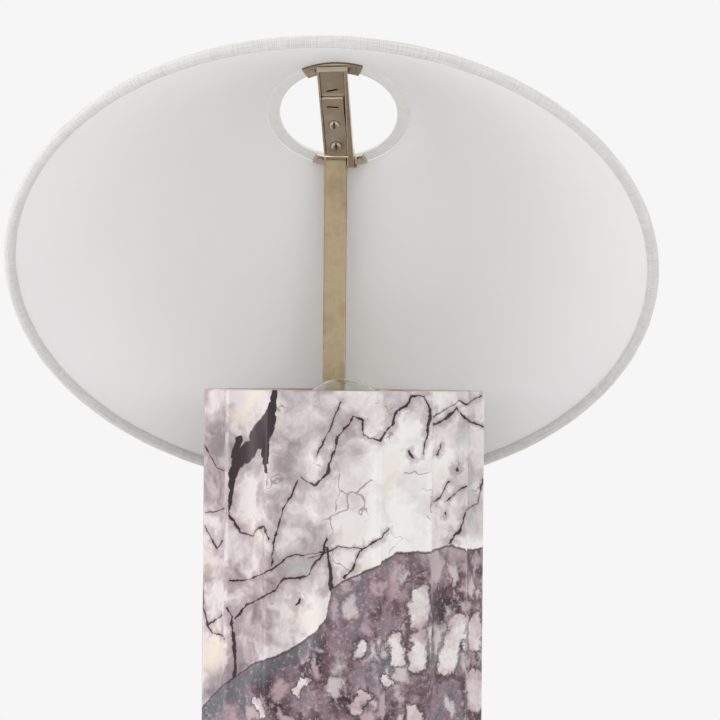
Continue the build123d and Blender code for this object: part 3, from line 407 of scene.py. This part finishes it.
# hair cracks, broken off by turns
cracks = add(tree, "ShaderNodeTexVoronoi", {
    "Vector": pushed, "Scale": 1 / CRACK_SPACING,
}, out="Distance", feature="DISTANCE_TO_EDGE")
swell = add(tree, "ShaderNodeTexNoise", {"Vector": place, "Scale": SWELLS_PER_METRE, "Detail": 3.0})
crack_width = add(tree, "ShaderNodeMapRange", {
    "Value": swell, "From Min": 0.46, "From Max": 0.70, "To Max": 0.022,
}, interpolation_type="SMOOTHSTEP")
crack_off = add(tree, "ShaderNodeMath", {0: cracks, 1: crack_width}, operation="SUBTRACT")
crack = add(tree, "ShaderNodeMapRange", {
    "Value": crack_off, "From Min": -0.012, "From Max": 0.0, "To Min": 0.7, "To Max": 0.0,
}, interpolation_type="SMOOTHSTEP")
cracked = add(tree, "ShaderNodeMix", {0: crack, 6: ground, 7: linear(CRACK_GREY)}, out=2, data_type="RGBA")

# the veins: drawn ones in front, and behind them the faces between large grains
pinches = add(tree, "ShaderNodeTexNoise", {"Vector": place, "Scale": PINCHES_PER_METRE, "Detail": 2.0})
fullness = add(tree, "ShaderNodeMapRange", {
    "Value": pinches, "From Min": 0.33, "From Max": 0.67, "To Min": 0.30, "To Max": 1.20,
}, interpolation_type="SMOOTHSTEP")
front_gap = add(tree, "ShaderNodeMath", {
    0: nearness(tree, drawn, FRONT_VEINS), 1: fullness,
}, operation="DIVIDE")
grains = add(tree, "ShaderNodeTexVoronoi", {
    "Vector": pushed, "Scale": 1 / REAR_VEIN_SPACING,
}, out="Distance", feature="DISTANCE_TO_EDGE")
rear_width = add(tree, "ShaderNodeMapRange", {
    "Value": swell, "From Min": 0.38, "From Max": 0.72, "To Min": 0.004, "To Max": 0.045,
}, interpolation_type="SMOOTHSTEP")
rear_gap = add(tree, "ShaderNodeMath", {0: grains, 1: rear_width}, operation="DIVIDE")
gap = add(tree, "ShaderNodeMix", {0: behind, 2: front_gap, 3: rear_gap}, data_type="FLOAT")
edge = add(tree, "ShaderNodeMapRange", {
    "Value": gap, "From Min": 0.9, "From Max": 8.0, "To Min": 0.6, "To Max": 0.0,
}, interpolation_type="SMOOTHSTEP")
core = add(tree, "ShaderNodeMapRange", {
    "Value": gap, "From Min": 0.6, "From Max": 1.2, "To Min": 1.0, "To Max": 0.0,
}, interpolation_type="SMOOTHSTEP")
upper = add(tree, "ShaderNodeMix", {0: edge, 6: cracked, 7: linear(VEIN_EDGE)}, out=2, data_type="RGBA")
upper = add(tree, "ShaderNodeMix", {0: core, 6: upper, 7: linear(VEIN_VIOLET)}, out=2, data_type="RGBA")
lens = add(tree, "ShaderNodeMapRange", {
    "Value": nearness(tree, drawn, DARK_LENS),
    "From Min": 0.88, "From Max": 1.04, "To Min": 1.0, "To Max": 0.0,
}, interpolation_type="SMOOTHSTEP")
in_front = add(tree, "ShaderNodeMath", {0: 1.0, 1: behind}, operation="SUBTRACT")
lens = add(tree, "ShaderNodeMath", {0: lens, 1: in_front}, operation="MULTIPLY")
upper = add(tree, "ShaderNodeMix", {0: lens, 6: upper, 7: linear(VEIN_VIOLET)}, out=2, data_type="RGBA")

# the broken stone: a mottled mass full of grit, with pieces of three sizes
patches = add(tree, "ShaderNodeTexNoise", {
    "Vector": pushed, "Scale": PATCHES_PER_METRE, "Detail": 5.0, "Roughness": 0.62,
})
mass = add(tree, "ShaderNodeValToRGB", {"Fac": patches}, stops=MASS_TONES)
grit = add(tree, "ShaderNodeTexNoise", {
    "Vector": place, "Scale": GRIT_PER_METRE, "Detail": 4.0, "Roughness": 0.7,
})
gritty = add(tree, "ShaderNodeMapRange", {
    "Value": grit, "From Min": 0.50, "From Max": 0.72, "To Max": 0.7,
}, interpolation_type="SMOOTHSTEP")
for spacing, least in ((SMALL_PIECE_SPACING, 0.60), (MIDDLE_PIECE_SPACING, 0.66)):
    squat = add(tree, "ShaderNodeMapping", {"Vector": broken, "Scale": (1.0, 1.0, 0.7)})
    chance = add(tree, "ShaderNodeTexVoronoi", {
        "Vector": squat, "Scale": 1 / spacing,
    }, out="Color", feature="F1")
    inside = add(tree, "ShaderNodeTexVoronoi", {
        "Vector": squat, "Scale": 1 / spacing,
    }, out="Distance", feature="DISTANCE_TO_EDGE")
    tone = add(tree, "ShaderNodeSeparateColor", {0: chance}, out="Red")
    is_pale = add(tree, "ShaderNodeMapRange", {
        "Value": tone, "From Min": least, "From Max": least + 0.04,
    }, interpolation_type="SMOOTHSTEP")
    body = add(tree, "ShaderNodeMapRange", {
        "Value": inside, "From Min": 0.02, "From Max": 0.28, "To Max": 0.8,
    }, interpolation_type="SMOOTHSTEP")
    shown_piece = add(tree, "ShaderNodeMath", {0: is_pale, 1: body}, operation="MULTIPLY")
    piece_tone = add(tree, "ShaderNodeValToRGB", {"Fac": tone}, stops=PIECE_TONES)
    mass = add(tree, "ShaderNodeMix", {0: shown_piece, 6: mass, 7: piece_tone}, out=2, data_type="RGBA")
piece_gap = nearness(tree, drawn_broken, PALE_PIECES)
for near, far, most, tone in (
    (1.15, 1.60, 0.7, linear(VEIN_VIOLET)),
    (0.70, 1.15, 1.0, add(tree, "ShaderNodeValToRGB", {"Fac": patches}, stops=PALE_TONES)),
):
    reach = add(tree, "ShaderNodeMapRange", {
        "Value": piece_gap, "From Min": near, "From Max": far, "To Min": most, "To Max": 0.0,
    }, interpolation_type="SMOOTHSTEP")
    reach = add(tree, "ShaderNodeMath", {0: reach, 1: in_front}, operation="MULTIPLY")
    mass = add(tree, "ShaderNodeMix", {0: reach, 6: mass, 7: tone}, out=2, data_type="RGBA")

# the seam, with a grey band under its left half and a dark line along it
share = add(tree, "ShaderNodeMath", {0: across, 1: 1 / SEAM_REACH, 2: 0.5}, operation="MULTIPLY_ADD")
seam = add(tree, "ShaderNodeFloatCurve", {"Value": share})
seam_curve = seam.node.mapping.curves[0]
for x, drop in SEAM[1:-1]:
    seam_curve.points.new(x / SEAM_REACH + 0.5, drop / SEAM_REACH)
for point, (x, drop) in zip(seam_curve.points, SEAM):
    point.location = (x / SEAM_REACH + 0.5, drop / SEAM_REACH)
    point.handle_type = "VECTOR"
seam.node.mapping.update()
below = add(tree, "ShaderNodeMath", {0: seam, 1: -SEAM_REACH, 2: down}, operation="MULTIPLY_ADD")
is_lower = add(tree, "ShaderNodeMapRange", {
    "Value": below, "From Min": -0.35, "From Max": 0.35,
}, interpolation_type="SMOOTHSTEP")
band = add(tree, "ShaderNodeMapRange", {
    "Value": below, "From Min": 4.0, "From Max": 13.0, "To Min": 0.85, "To Max": 0.0,
}, interpolation_type="SMOOTHSTEP")
at_left = add(tree, "ShaderNodeMapRange", {
    "Value": side, "From Min": -0.014, "From Max": 0.004, "To Min": 1.0, "To Max": 0.15,
}, interpolation_type="SMOOTHSTEP")
band = add(tree, "ShaderNodeMath", {0: band, 1: at_left}, operation="MULTIPLY")
lower = add(tree, "ShaderNodeMix", {0: band, 6: mass, 7: linear(MASS_GREY)}, out=2, data_type="RGBA")
lower = add(tree, "ShaderNodeMix", {0: gritty, 6: lower, 7: linear(GRIT_ROSE)}, out=2, data_type="RGBA")
off_seam = add(tree, "ShaderNodeMath", {0: below}, operation="ABSOLUTE")
line = add(tree, "ShaderNodeMapRange", {
    "Value": off_seam, "From Min": 0.2, "From Max": 0.8, "To Min": 0.8, "To Max": 0.0,
}, interpolation_type="SMOOTHSTEP")
stone = add(tree, "ShaderNodeMix", {0: is_lower, 6: upper, 7: lower}, out=2, data_type="RGBA")
stone = add(tree, "ShaderNodeMix", {0: line, 6: stone, 7: linear(VEIN_VIOLET)}, out=2, data_type="RGBA")
skin = add(tree, "ShaderNodeBsdfPrincipled", {"Base Color": stone, "Roughness": 0.42, "IOR": 1.5})
add(tree, "ShaderNodeOutputMaterial", {"Surface": skin})


def paint(material, *nodes):
    """Gives CAD nodes their finish."""
    for node in nodes:
        for slot in frame["nodes"][node].material_slots:
            slot.material = material


paint(marble, "marble_column")


# ---- steel inside the foot and the column ----
# Base plate, hollow threaded tube, nuts, washers, screws and the wire rings of the shade: mild
# steel, bright zinc plated.
zinc_plate = bpy.data.materials.new("bright_zinc_plated_steel")
tree = fresh_tree(zinc_plate)
place = add(tree, "ShaderNodeTexCoord", {}, out="Object")
spangle = add(tree, "ShaderNodeTexNoise", {"Vector": place, "Scale": 260.0, "Detail": 4.0})
plated = add(tree, "ShaderNodeValToRGB", {"Fac": spangle}, stops=((0.35, "#A9ABAD"), (0.65, "#C3C5C6")))
worn = add(tree, "ShaderNodeMapRange", {
    "Value": spangle, "From Min": 0.3, "From Max": 0.7, "To Min": 0.28, "To Max": 0.42,
})
skin = add(tree, "ShaderNodeBsdfPrincipled", {"Base Color": plated, "Metallic": 1.0, "Roughness": worn})
add(tree, "ShaderNodeOutputMaterial", {"Surface": skin})
paint(
    zinc_plate, "base_plate", "tie_tube", "tie_nuts", "tie_washers", "terminal_screws", "bottom_ring",
    "top_ring", "lampholder_shell", "bulb_cap", "bulb_button", "filament_spokes",
)


# ---- black phenolic mouldings ----
# Cord gland, terminal block and the two lampholder shells: compression moulded phenolic, smooth
# with a faint orange peel.
phenolic = bpy.data.materials.new("moulded_black_phenolic")
tree = fresh_tree(phenolic)
place = add(tree, "ShaderNodeTexCoord", {}, out="Object")
peel = add(tree, "ShaderNodeTexNoise", {"Vector": place, "Scale": 500.0, "Detail": 2.0})
relief = add(tree, "ShaderNodeBump", {"Height": peel, "Strength": 0.15, "Distance": 0.0002})
black = add(tree, "ShaderNodeValToRGB", {"Fac": peel}, stops=((0.3, "#191817"), (0.7, "#232120")))
skin = add(tree, "ShaderNodeBsdfPrincipled", {
    "Base Color": black, "Roughness": 0.34, "IOR": 1.6, "Normal": relief,
})
add(tree, "ShaderNodeOutputMaterial", {"Surface": skin})
paint(phenolic, "cord_gland", "terminal_block", "lampholder_base", "lampholder_sleeve")


# ---- inner leads, ceramic and washer ----
# Silicone sleeving on the two leads, an unglazed steatite disc under the bulb, and a nylon washer.
def plain_moulding(name, dark, light, grain, roughness):
    """A material of one tone with a fine mottle of the given grain size in metres."""
    material = bpy.data.materials.new(name)
    tree = fresh_tree(material)
    place = add(tree, "ShaderNodeTexCoord", {}, out="Object")
    mottle = add(tree, "ShaderNodeTexNoise", {"Vector": place, "Scale": 1 / grain, "Detail": 3.0})
    relief = add(tree, "ShaderNodeBump", {"Height": mottle, "Strength": 0.2, "Distance": grain / 10})
    tone = add(tree, "ShaderNodeValToRGB", {"Fac": mottle}, stops=((0.35, dark), (0.65, light)))
    skin = add(tree, "ShaderNodeBsdfPrincipled", {
        "Base Color": tone, "Roughness": roughness, "Normal": relief,
    })
    add(tree, "ShaderNodeOutputMaterial", {"Surface": skin})
    return material


paint(plain_moulding("silicone_lead_sleeving", "#CFC8BC", "#DAD4C9", 0.003, 0.5), "inner_leads")
paint(plain_moulding("unglazed_steatite", "#DDD8CE", "#E8E4DB", 0.0008, 0.7), "lampholder_insert")
paint(plain_moulding("turned_nylon", "#DEDBD3", "#E6E3DC", 0.001, 0.45), "hinge_washer")
paint(plain_moulding("phosphor_coated_filament", "#D9A94B", "#E8BE66", 0.0005, 0.6), "bulb_filaments")
paint(plain_moulding("black_cap_glass", "#0E0E10", "#17171A", 0.002, 0.12), "bulb_insulator")


# ---- brass ----
# Top plate, lamp cup and mast: rolled brass, brushed along its length and darkened with age. The
# bracket and its screws are newer: the same brass, polished, lacquered and paler.
BRUSH_SPACING = 0.00045
BRUSH_DRAW = 0.02             # a stroke's width, as a share of its length
TARNISH_PER_METRE = 55.0
CORNER_REACH = 0.0012
# dark colour for slots, corners and seams: partly dirt, partly painted shade
SLOT_DIRT_AND_SHADE = "#2A1F17"


def brushed_brass(name, tones, smoothest, roughest):
    """Metal with strokes along its length, clouded by tarnish in the given tones. Slots, corners and the
    seams between pieces are darkened by how closed in they are: partly dirt, partly painted shade."""
    material = bpy.data.materials.new(name)
    tree = fresh_tree(material)
    place = add(tree, "ShaderNodeTexCoord", {}, out="Object")
    along = add(tree, "ShaderNodeMapping", {"Vector": place, "Scale": (1.0, 1.0, BRUSH_DRAW)})
    strokes = add(tree, "ShaderNodeTexNoise", {"Vector": along, "Scale": 1 / BRUSH_SPACING, "Detail": 3.0})
    tarnish = add(tree, "ShaderNodeTexNoise", {
        "Vector": place, "Scale": TARNISH_PER_METRE, "Detail": 4.0, "Roughness": 0.6,
    })
    metal = add(tree, "ShaderNodeValToRGB", {"Fac": tarnish}, stops=tones)
    # painted shade and dirt: the colour darkens where nearby surfaces close a place in
    opening = add(tree, "ShaderNodeAmbientOcclusion", {"Distance": CORNER_REACH}, out="AO", samples=8)
    dirt_and_shade = add(tree, "ShaderNodeMapRange", {
        "Value": opening, "From Min": 0.45, "From Max": 0.85, "To Min": 0.9, "To Max": 0.0,
    })
    metal = add(tree, "ShaderNodeMix", {0: dirt_and_shade, 6: metal, 7: linear(SLOT_DIRT_AND_SHADE)}, out=2, data_type="RGBA")
    relief = add(tree, "ShaderNodeBump", {
        "Height": strokes, "Strength": 0.12, "Distance": BRUSH_SPACING / 10,
    })
    worn = add(tree, "ShaderNodeMapRange", {
        "Value": strokes, "From Min": 0.3, "From Max": 0.7, "To Min": smoothest, "To Max": roughest,
    })
    skin = add(tree, "ShaderNodeBsdfPrincipled", {
        "Base Color": metal, "Metallic": 1.0, "Roughness": worn, "Normal": relief,
    })
    add(tree, "ShaderNodeOutputMaterial", {"Surface": skin})
    return material


aged = brushed_brass("brushed_aged_brass", (
    (0.32, "#AD957A"), (0.48, "#BCA98B"), (0.66, "#A79676"),
), 0.26, 0.38)
paint(aged, "top_plate", "lamp_cup", "mast", "mast_screws", "hinge_pin", "lampholder_contact")
lacquered = brushed_brass("polished_lacquered_brass", (
    (0.34, "#DDD0BD"), (0.50, "#EADFD0"), (0.66, "#D7C9B6"),
), 0.28, 0.42)
paint(
    lacquered, "saddle_rivets", "front_saddle", "rear_saddle", "bracket_channel", "leaf_screws",
    "stop_block", "bracket_screws",
)
# The spring leaf is brass too, rolled hard and nickel plated, which makes it greyer.
nickel_plated = brushed_brass("nickel_plated_spring_brass", (
    (0.34, "#DAD3C7"), (0.50, "#EBE6DC"), (0.66, "#D4CDC1"),
), 0.30, 0.44)
paint(nickel_plated, "friction_leaf")


# ---- bulb glass ----
# Blown soda-lime glass, clear, under a millimetre thick.
bulb_glass = bpy.data.materials.new("clear_soda_lime_glass")
tree = fresh_tree(bulb_glass)
place = add(tree, "ShaderNodeTexCoord", {}, out="Object")
ripple = add(tree, "ShaderNodeTexNoise", {"Vector": place, "Scale": 60.0, "Detail": 1.0})
relief = add(tree, "ShaderNodeBump", {"Height": ripple, "Strength": 0.05, "Distance": 0.001})
skin = add(tree, "ShaderNodeBsdfPrincipled", {
    "Base Color": linear("#F4F8F0"), "Roughness": 0.0, "IOR": 1.5, "Transmission Weight": 1.0,
    "Normal": relief,
})
add(tree, "ShaderNodeOutputMaterial", {"Surface": skin})
paint(bulb_glass, "bulb_glass", "bulb_stem")


# ---- shade lining ----
# A white laminated sheet cut as a sector, rolled to a cone and glued inside the linen. It runs from
# the ring at the top hole to the ring at the rim.
tilt_joint = frame["joints"][0]
HINGE_FROM_AXIS = 0.0276
HINGE_DROP = 0.0056
COLLAR_RADIUS = 0.0344
COLLAR_HEIGHT = 0.0018
RIM_WRAP_RADIUS = 0.00275
SHADE_DEPTH = 0.1115
SHADE_WALL = 0.0025           # across the cone's layers, square to its axis
SHEET_THICKNESS = 0.0007
AROUND = 240
ALONG = 14
rim_low, rim_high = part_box("rim_binding")
rim_radius = (rim_high.x - rim_low.x) / 2 - RIM_WRAP_RADIUS
rim_level = RIM_WRAP_RADIUS - SHADE_DEPTH
inner_radius = rim_radius - SHADE_WALL / 2
shade_slope = atan2(inner_radius - COLLAR_RADIUS, -COLLAR_HEIGHT / 2 - rim_level)
shade_place = (
    Matrix.Translation(tilt_joint["pos_m"])
    @ Matrix.Rotation(-radians(tilt_joint["range_deg"][1]), 4, "X")
    @ Matrix.Translation((0, -HINGE_FROM_AXIS, HINGE_DROP))
)


def select_where(piece, items, test):
    """In edit mode, selects just the edges or faces that pass the test."""
    bpy.ops.mesh.select_all(action="DESELECT")
    bpy.ops.object.mode_set(mode="OBJECT")
    for item in getattr(piece.data, items):
        item.select = test(item)
    bpy.ops.object.mode_set(mode="EDIT")


def cone_sheet(low_radius, high_radius, low, high):
    """A rolled cone in the shade frame, cut into short rows."""
    sheet = start_piece(
        bpy.ops.mesh.primitive_cone_add,
        vertices=AROUND, radius1=low_radius, radius2=high_radius, depth=high - low,
        end_fill_type="NOTHING", location=(0, 0, (low + high) / 2),
    )
    bpy.ops.object.mode_set(mode="EDIT")
    bpy.ops.mesh.select_mode(type="EDGE")
    heights = [v.co.z for v in sheet.data.vertices]
    select_where(sheet, "edges", lambda e: abs(heights[e.vertices[0]] - heights[e.vertices[1]]) > 1e-6)
    bpy.ops.mesh.subdivide(number_cuts=ALONG)
    bpy.ops.object.mode_set(mode="OBJECT")
    return sheet


def beside(angle, middle):
    """The angle, brought within half a turn of the middle one."""
    return middle + (angle - middle + pi) % (2 * pi) - pi


def flat_cut_map(sheet, slope):
    """Maps a cone's faces, in metres, to the flat sector that it was cut from."""
    mesh = sheet.data
    layer = mesh.uv_layers[0] if mesh.uv_layers else mesh.uv_layers.new(name="cut")
    opening = sin(slope)
    for face in mesh.polygons:
        middle = atan2(face.center.x, -face.center.y)
        for loop in face.loop_indices:
            co = mesh.vertices[mesh.loops[loop].vertex_index].co
            angle = beside(atan2(co.x, -co.y), middle)
            reach = Vector((co.x, co.y)).length / opening
            layer.data[loop].uv = (reach * sin(angle * opening), reach * cos(angle * opening))


def place_in_shade(piece):
    """Moves a piece made in the shade frame to its place at rest."""
    piece.matrix_world = shade_place
    bpy.ops.object.transform_apply(location=True, rotation=True, scale=True)


lining = cone_sheet(inner_radius, COLLAR_RADIUS, rim_level, -COLLAR_HEIGHT / 2)
flat_cut_map(lining, shade_slope)
wall = lining.modifiers.new("sheet_thickness", "SOLIDIFY")
wall.thickness = SHEET_THICKNESS
wall.offset = 1.0
apply_modifiers(lining)
bpy.ops.object.shade_smooth_by_angle(angle=radians(40))
place_in_shade(lining)

# A matt white film with the weave of the linen showing through it as the faintest grid.
lining_film = bpy.data.materials.new("white_laminated_lining")
tree = fresh_tree(lining_film)
cut = add(tree, "ShaderNodeUVMap", {})
cloudy = add(tree, "ShaderNodeTexNoise", {"Vector": cut, "Scale": 14.0, "Detail": 3.0})
fine = add(tree, "ShaderNodeTexNoise", {"Vector": cut, "Scale": 900.0, "Detail": 2.0})
film = add(tree, "ShaderNodeValToRGB", {"Fac": cloudy}, stops=((0.35, "#F8F8F8"), (0.65, "#FAFAFA")))
relief = add(tree, "ShaderNodeBump", {"Height": fine, "Strength": 0.08, "Distance": 0.0002})
skin = add(tree, "ShaderNodeBsdfPrincipled", {"Base Color": film, "Roughness": 0.55, "Normal": relief})
add(tree, "ShaderNodeOutputMaterial", {"Surface": skin})
finish_piece(lining, "lining_sheet", "shade", "lining", lining_film, "shade_lining")


# ---- linen cover ----
# Plain woven linen laminated to the lining, its edges lapped at the rear.
LAP_WIDTH = 0.009
LAP_RISE = 0.0004
cover = cone_sheet(inner_radius + SHADE_WALL, COLLAR_RADIUS + SHADE_WALL, rim_level, -COLLAR_HEIGHT / 2)
bpy.ops.object.mode_set(mode="EDIT")
bpy.ops.mesh.select_mode(type="FACE")
for side in (-1, 1):
    select_where(cover, "polygons", lambda face: face.center.y > 0)
    bpy.ops.mesh.bisect(plane_co=(side * LAP_WIDTH / 2, 0, 0), plane_no=(1, 0, 0))
select_where(cover, "polygons", lambda face: face.center.y > 0 and abs(face.center.x) < LAP_WIDTH / 2)
bpy.ops.mesh.extrude_region_shrink_fatten(TRANSFORM_OT_shrink_fatten={"value": LAP_RISE})
bpy.ops.object.mode_set(mode="OBJECT")
flat_cut_map(cover, shade_slope)
wall = cover.modifiers.new("cloth_thickness", "SOLIDIFY")
wall.thickness = SHEET_THICKNESS
wall.offset = -1.0
apply_modifiers(cover)
bpy.ops.object.shade_smooth_by_angle(angle=radians(40))
place_in_shade(cover)

# Plain weave: two sets of threads that cross, each thread thick and thin along its length. The
# threads are drawn at 0.9 mm, twice their real spacing, so that they show.
THREAD_SPACING = 0.0009


def woven_linen(name, tones):
    """Plain woven linen in the given tones, its threads laid by the piece's flat cut."""
    material = bpy.data.materials.new(name)
    tree = fresh_tree(material)
    cut = add(tree, "ShaderNodeUVMap", {})
    slack = add(tree, "ShaderNodeTexNoise", {"Vector": cut, "Scale": 160.0, "Detail": 2.0}, out="Color")
    shift = add(tree, "ShaderNodeVectorMath", {
        0: slack, 1: (THREAD_SPACING, THREAD_SPACING, 0.0), 2: cut,
    }, operation="MULTIPLY_ADD")
    threads = []
    slubs = []
    for direction, drawn_out in (("X", (1.0, 0.06, 1.0)), ("Y", (0.06, 1.0, 1.0))):
        threads.append(add(tree, "ShaderNodeTexWave", {
            "Vector": shift, "Scale": pi / (10 * THREAD_SPACING), "Distortion": 0.6, "Detail": 2.0,
            "Detail Scale": 1.5,
        }, out="Fac", bands_direction=direction))
        drawn_cut = add(tree, "ShaderNodeMapping", {"Vector": cut, "Scale": drawn_out})
        slubs.append(add(tree, "ShaderNodeTexNoise", {
            "Vector": drawn_cut, "Scale": 0.9 / THREAD_SPACING, "Detail": 2.0,
        }))
    both = add(tree, "ShaderNodeMath", {0: threads[0], 1: threads[1]}, operation="MULTIPLY")
    upper_thread = add(tree, "ShaderNodeMath", {0: threads[0], 1: threads[1]}, operation="MAXIMUM")
    height = add(tree, "ShaderNodeMath", {0: both, 1: upper_thread}, operation="ADD")
    uneven = add(tree, "ShaderNodeMath", {0: slubs[0], 1: slubs[1]}, operation="ADD")
    thick = add(tree, "ShaderNodeMath", {0: uneven, 1: 0.46}, operation="MULTIPLY")
    tone = add(tree, "ShaderNodeMath", {0: height, 1: 0.12, 2: thick}, operation="MULTIPLY_ADD")
    colour = add(tree, "ShaderNodeValToRGB", {"Fac": tone}, stops=tones)
    rise = add(tree, "ShaderNodeMath", {0: uneven, 1: 0.8, 2: height}, operation="MULTIPLY_ADD")
    relief = add(tree, "ShaderNodeBump", {"Height": rise, "Strength": 0.4, "Distance": 0.0003})
    skin = add(tree, "ShaderNodeBsdfPrincipled", {
        "Base Color": colour, "Roughness": 0.85, "Normal": relief, "Sheen Weight": 0.15,
        "Sheen Roughness": 0.5,
    })
    add(tree, "ShaderNodeOutputMaterial", {"Surface": skin})
    return material


linen = woven_linen("bleached_plain_woven_linen", (
    (0.34, "#C8C7C5"), (0.50, "#D8D7D5"), (0.68, "#E6E5E3"),
))
finish_piece(cover, "linen_cover", "shade", "linen", linen, "shade_cover")


# ---- rim binding ----
# Linen tape rolled tightly round the bottom wire ring, drawn in a little unevenly by hand, with its
# turned edge against the lining.
RIM_AROUND = 360
TAPE_TURN = 24
WRAP_TIGHTNESS = 0.965        # the wrap's mean radius, as a share of its full one
WRAP_WAVES = ((0.018, 37, 0.4), (0.012, 89, 2.1))     # share of the radius, count, start in radians
rim = start_piece(
    bpy.ops.mesh.primitive_torus_add,
    major_segments=RIM_AROUND, minor_segments=TAPE_TURN, major_radius=rim_radius,
    minor_radius=RIM_WRAP_RADIUS, location=(0, 0, rim_level), generate_uvs=True,
)
for vertex in rim.data.vertices:
    angle = atan2(vertex.co.y, vertex.co.x)
    centre = Vector((cos(angle) * rim_radius, sin(angle) * rim_radius, rim_level))
    uneven = WRAP_TIGHTNESS
    for swing, count, start in WRAP_WAVES:
        uneven += swing * sin(count * angle + start)
    vertex.co = centre + (vertex.co - centre) * uneven


def tape_map(piece, radius, turn_of, wrap_radius):
    """Maps a ring of tape, in metres: round the ring, and round or across the tape."""
    mesh = piece.data
    layer = mesh.uv_layers[0] if mesh.uv_layers else mesh.uv_layers.new(name="cut")
    for face in mesh.polygons:
        middle = atan2(face.center.y, face.center.x)
        turn_middle = turn_of(face.center)
        for loop in face.loop_indices:
            co = mesh.vertices[mesh.loops[loop].vertex_index].co
            angle = beside(atan2(co.y, co.x), middle)
            turn = beside(turn_of(co), turn_middle)
            layer.data[loop].uv = (angle * radius, turn * wrap_radius)


tape_map(
    rim, rim_radius, lambda co: atan2(co.z - rim_level, Vector((co.x, co.y)).length - rim_radius),
    RIM_WRAP_RADIUS,
)
bpy.ops.object.shade_smooth()
place_in_shade(rim)
finish_piece(rim, "rim_tape", "shade", "linen", linen, "rim_binding")


# ---- top binding ----
# A whiter linen tape, folded over the flat top ring and glued down, which leaves a soft square edge.
HOLE_RADIUS = 0.0282
FOLD_ROUND = 0.0006
COLLAR_AROUND = 180
collar = start_piece(
    bpy.ops.mesh.primitive_circle_add,
    vertices=COLLAR_AROUND, radius=HOLE_RADIUS, location=(0, 0, -COLLAR_HEIGHT / 2),
)
bpy.ops.object.mode_set(mode="EDIT")
bpy.ops.mesh.select_all(action="SELECT")
widen = COLLAR_RADIUS / HOLE_RADIUS
bpy.ops.mesh.extrude_edges_move()
bpy.ops.transform.resize(value=(widen, widen, 1.0))
bpy.ops.mesh.select_all(action="SELECT")
bpy.ops.mesh.extrude_region_move(TRANSFORM_OT_translate={"value": (0, 0, COLLAR_HEIGHT)})
bpy.ops.mesh.select_all(action="SELECT")
bpy.ops.mesh.normals_make_consistent(inside=False)
bpy.ops.object.mode_set(mode="OBJECT")
fold = collar.modifiers.new("folded_edges", "BEVEL")
fold.width = FOLD_ROUND
fold.segments = 4
fold.angle_limit = radians(60)
apply_modifiers(collar)
collar_middle = (HOLE_RADIUS + COLLAR_RADIUS) / 2
tape_map(
    collar, HOLE_RADIUS, lambda co: atan2(co.z, Vector((co.x, co.y)).length - collar_middle),
    COLLAR_RADIUS - collar_middle,
)
bpy.ops.object.shade_smooth_by_angle(angle=radians(40))
place_in_shade(collar)

# A whiter tape than the cover's linen, since it is bleached once more after weaving.
white_tape = woven_linen("full_bleached_linen_tape", (
    (0.34, "#F0F0ED"), (0.50, "#F5F5F2"), (0.68, "#F9F9F7"),
))
finish_piece(collar, "collar_tape", "shade", "linen", white_tape, "top_binding")
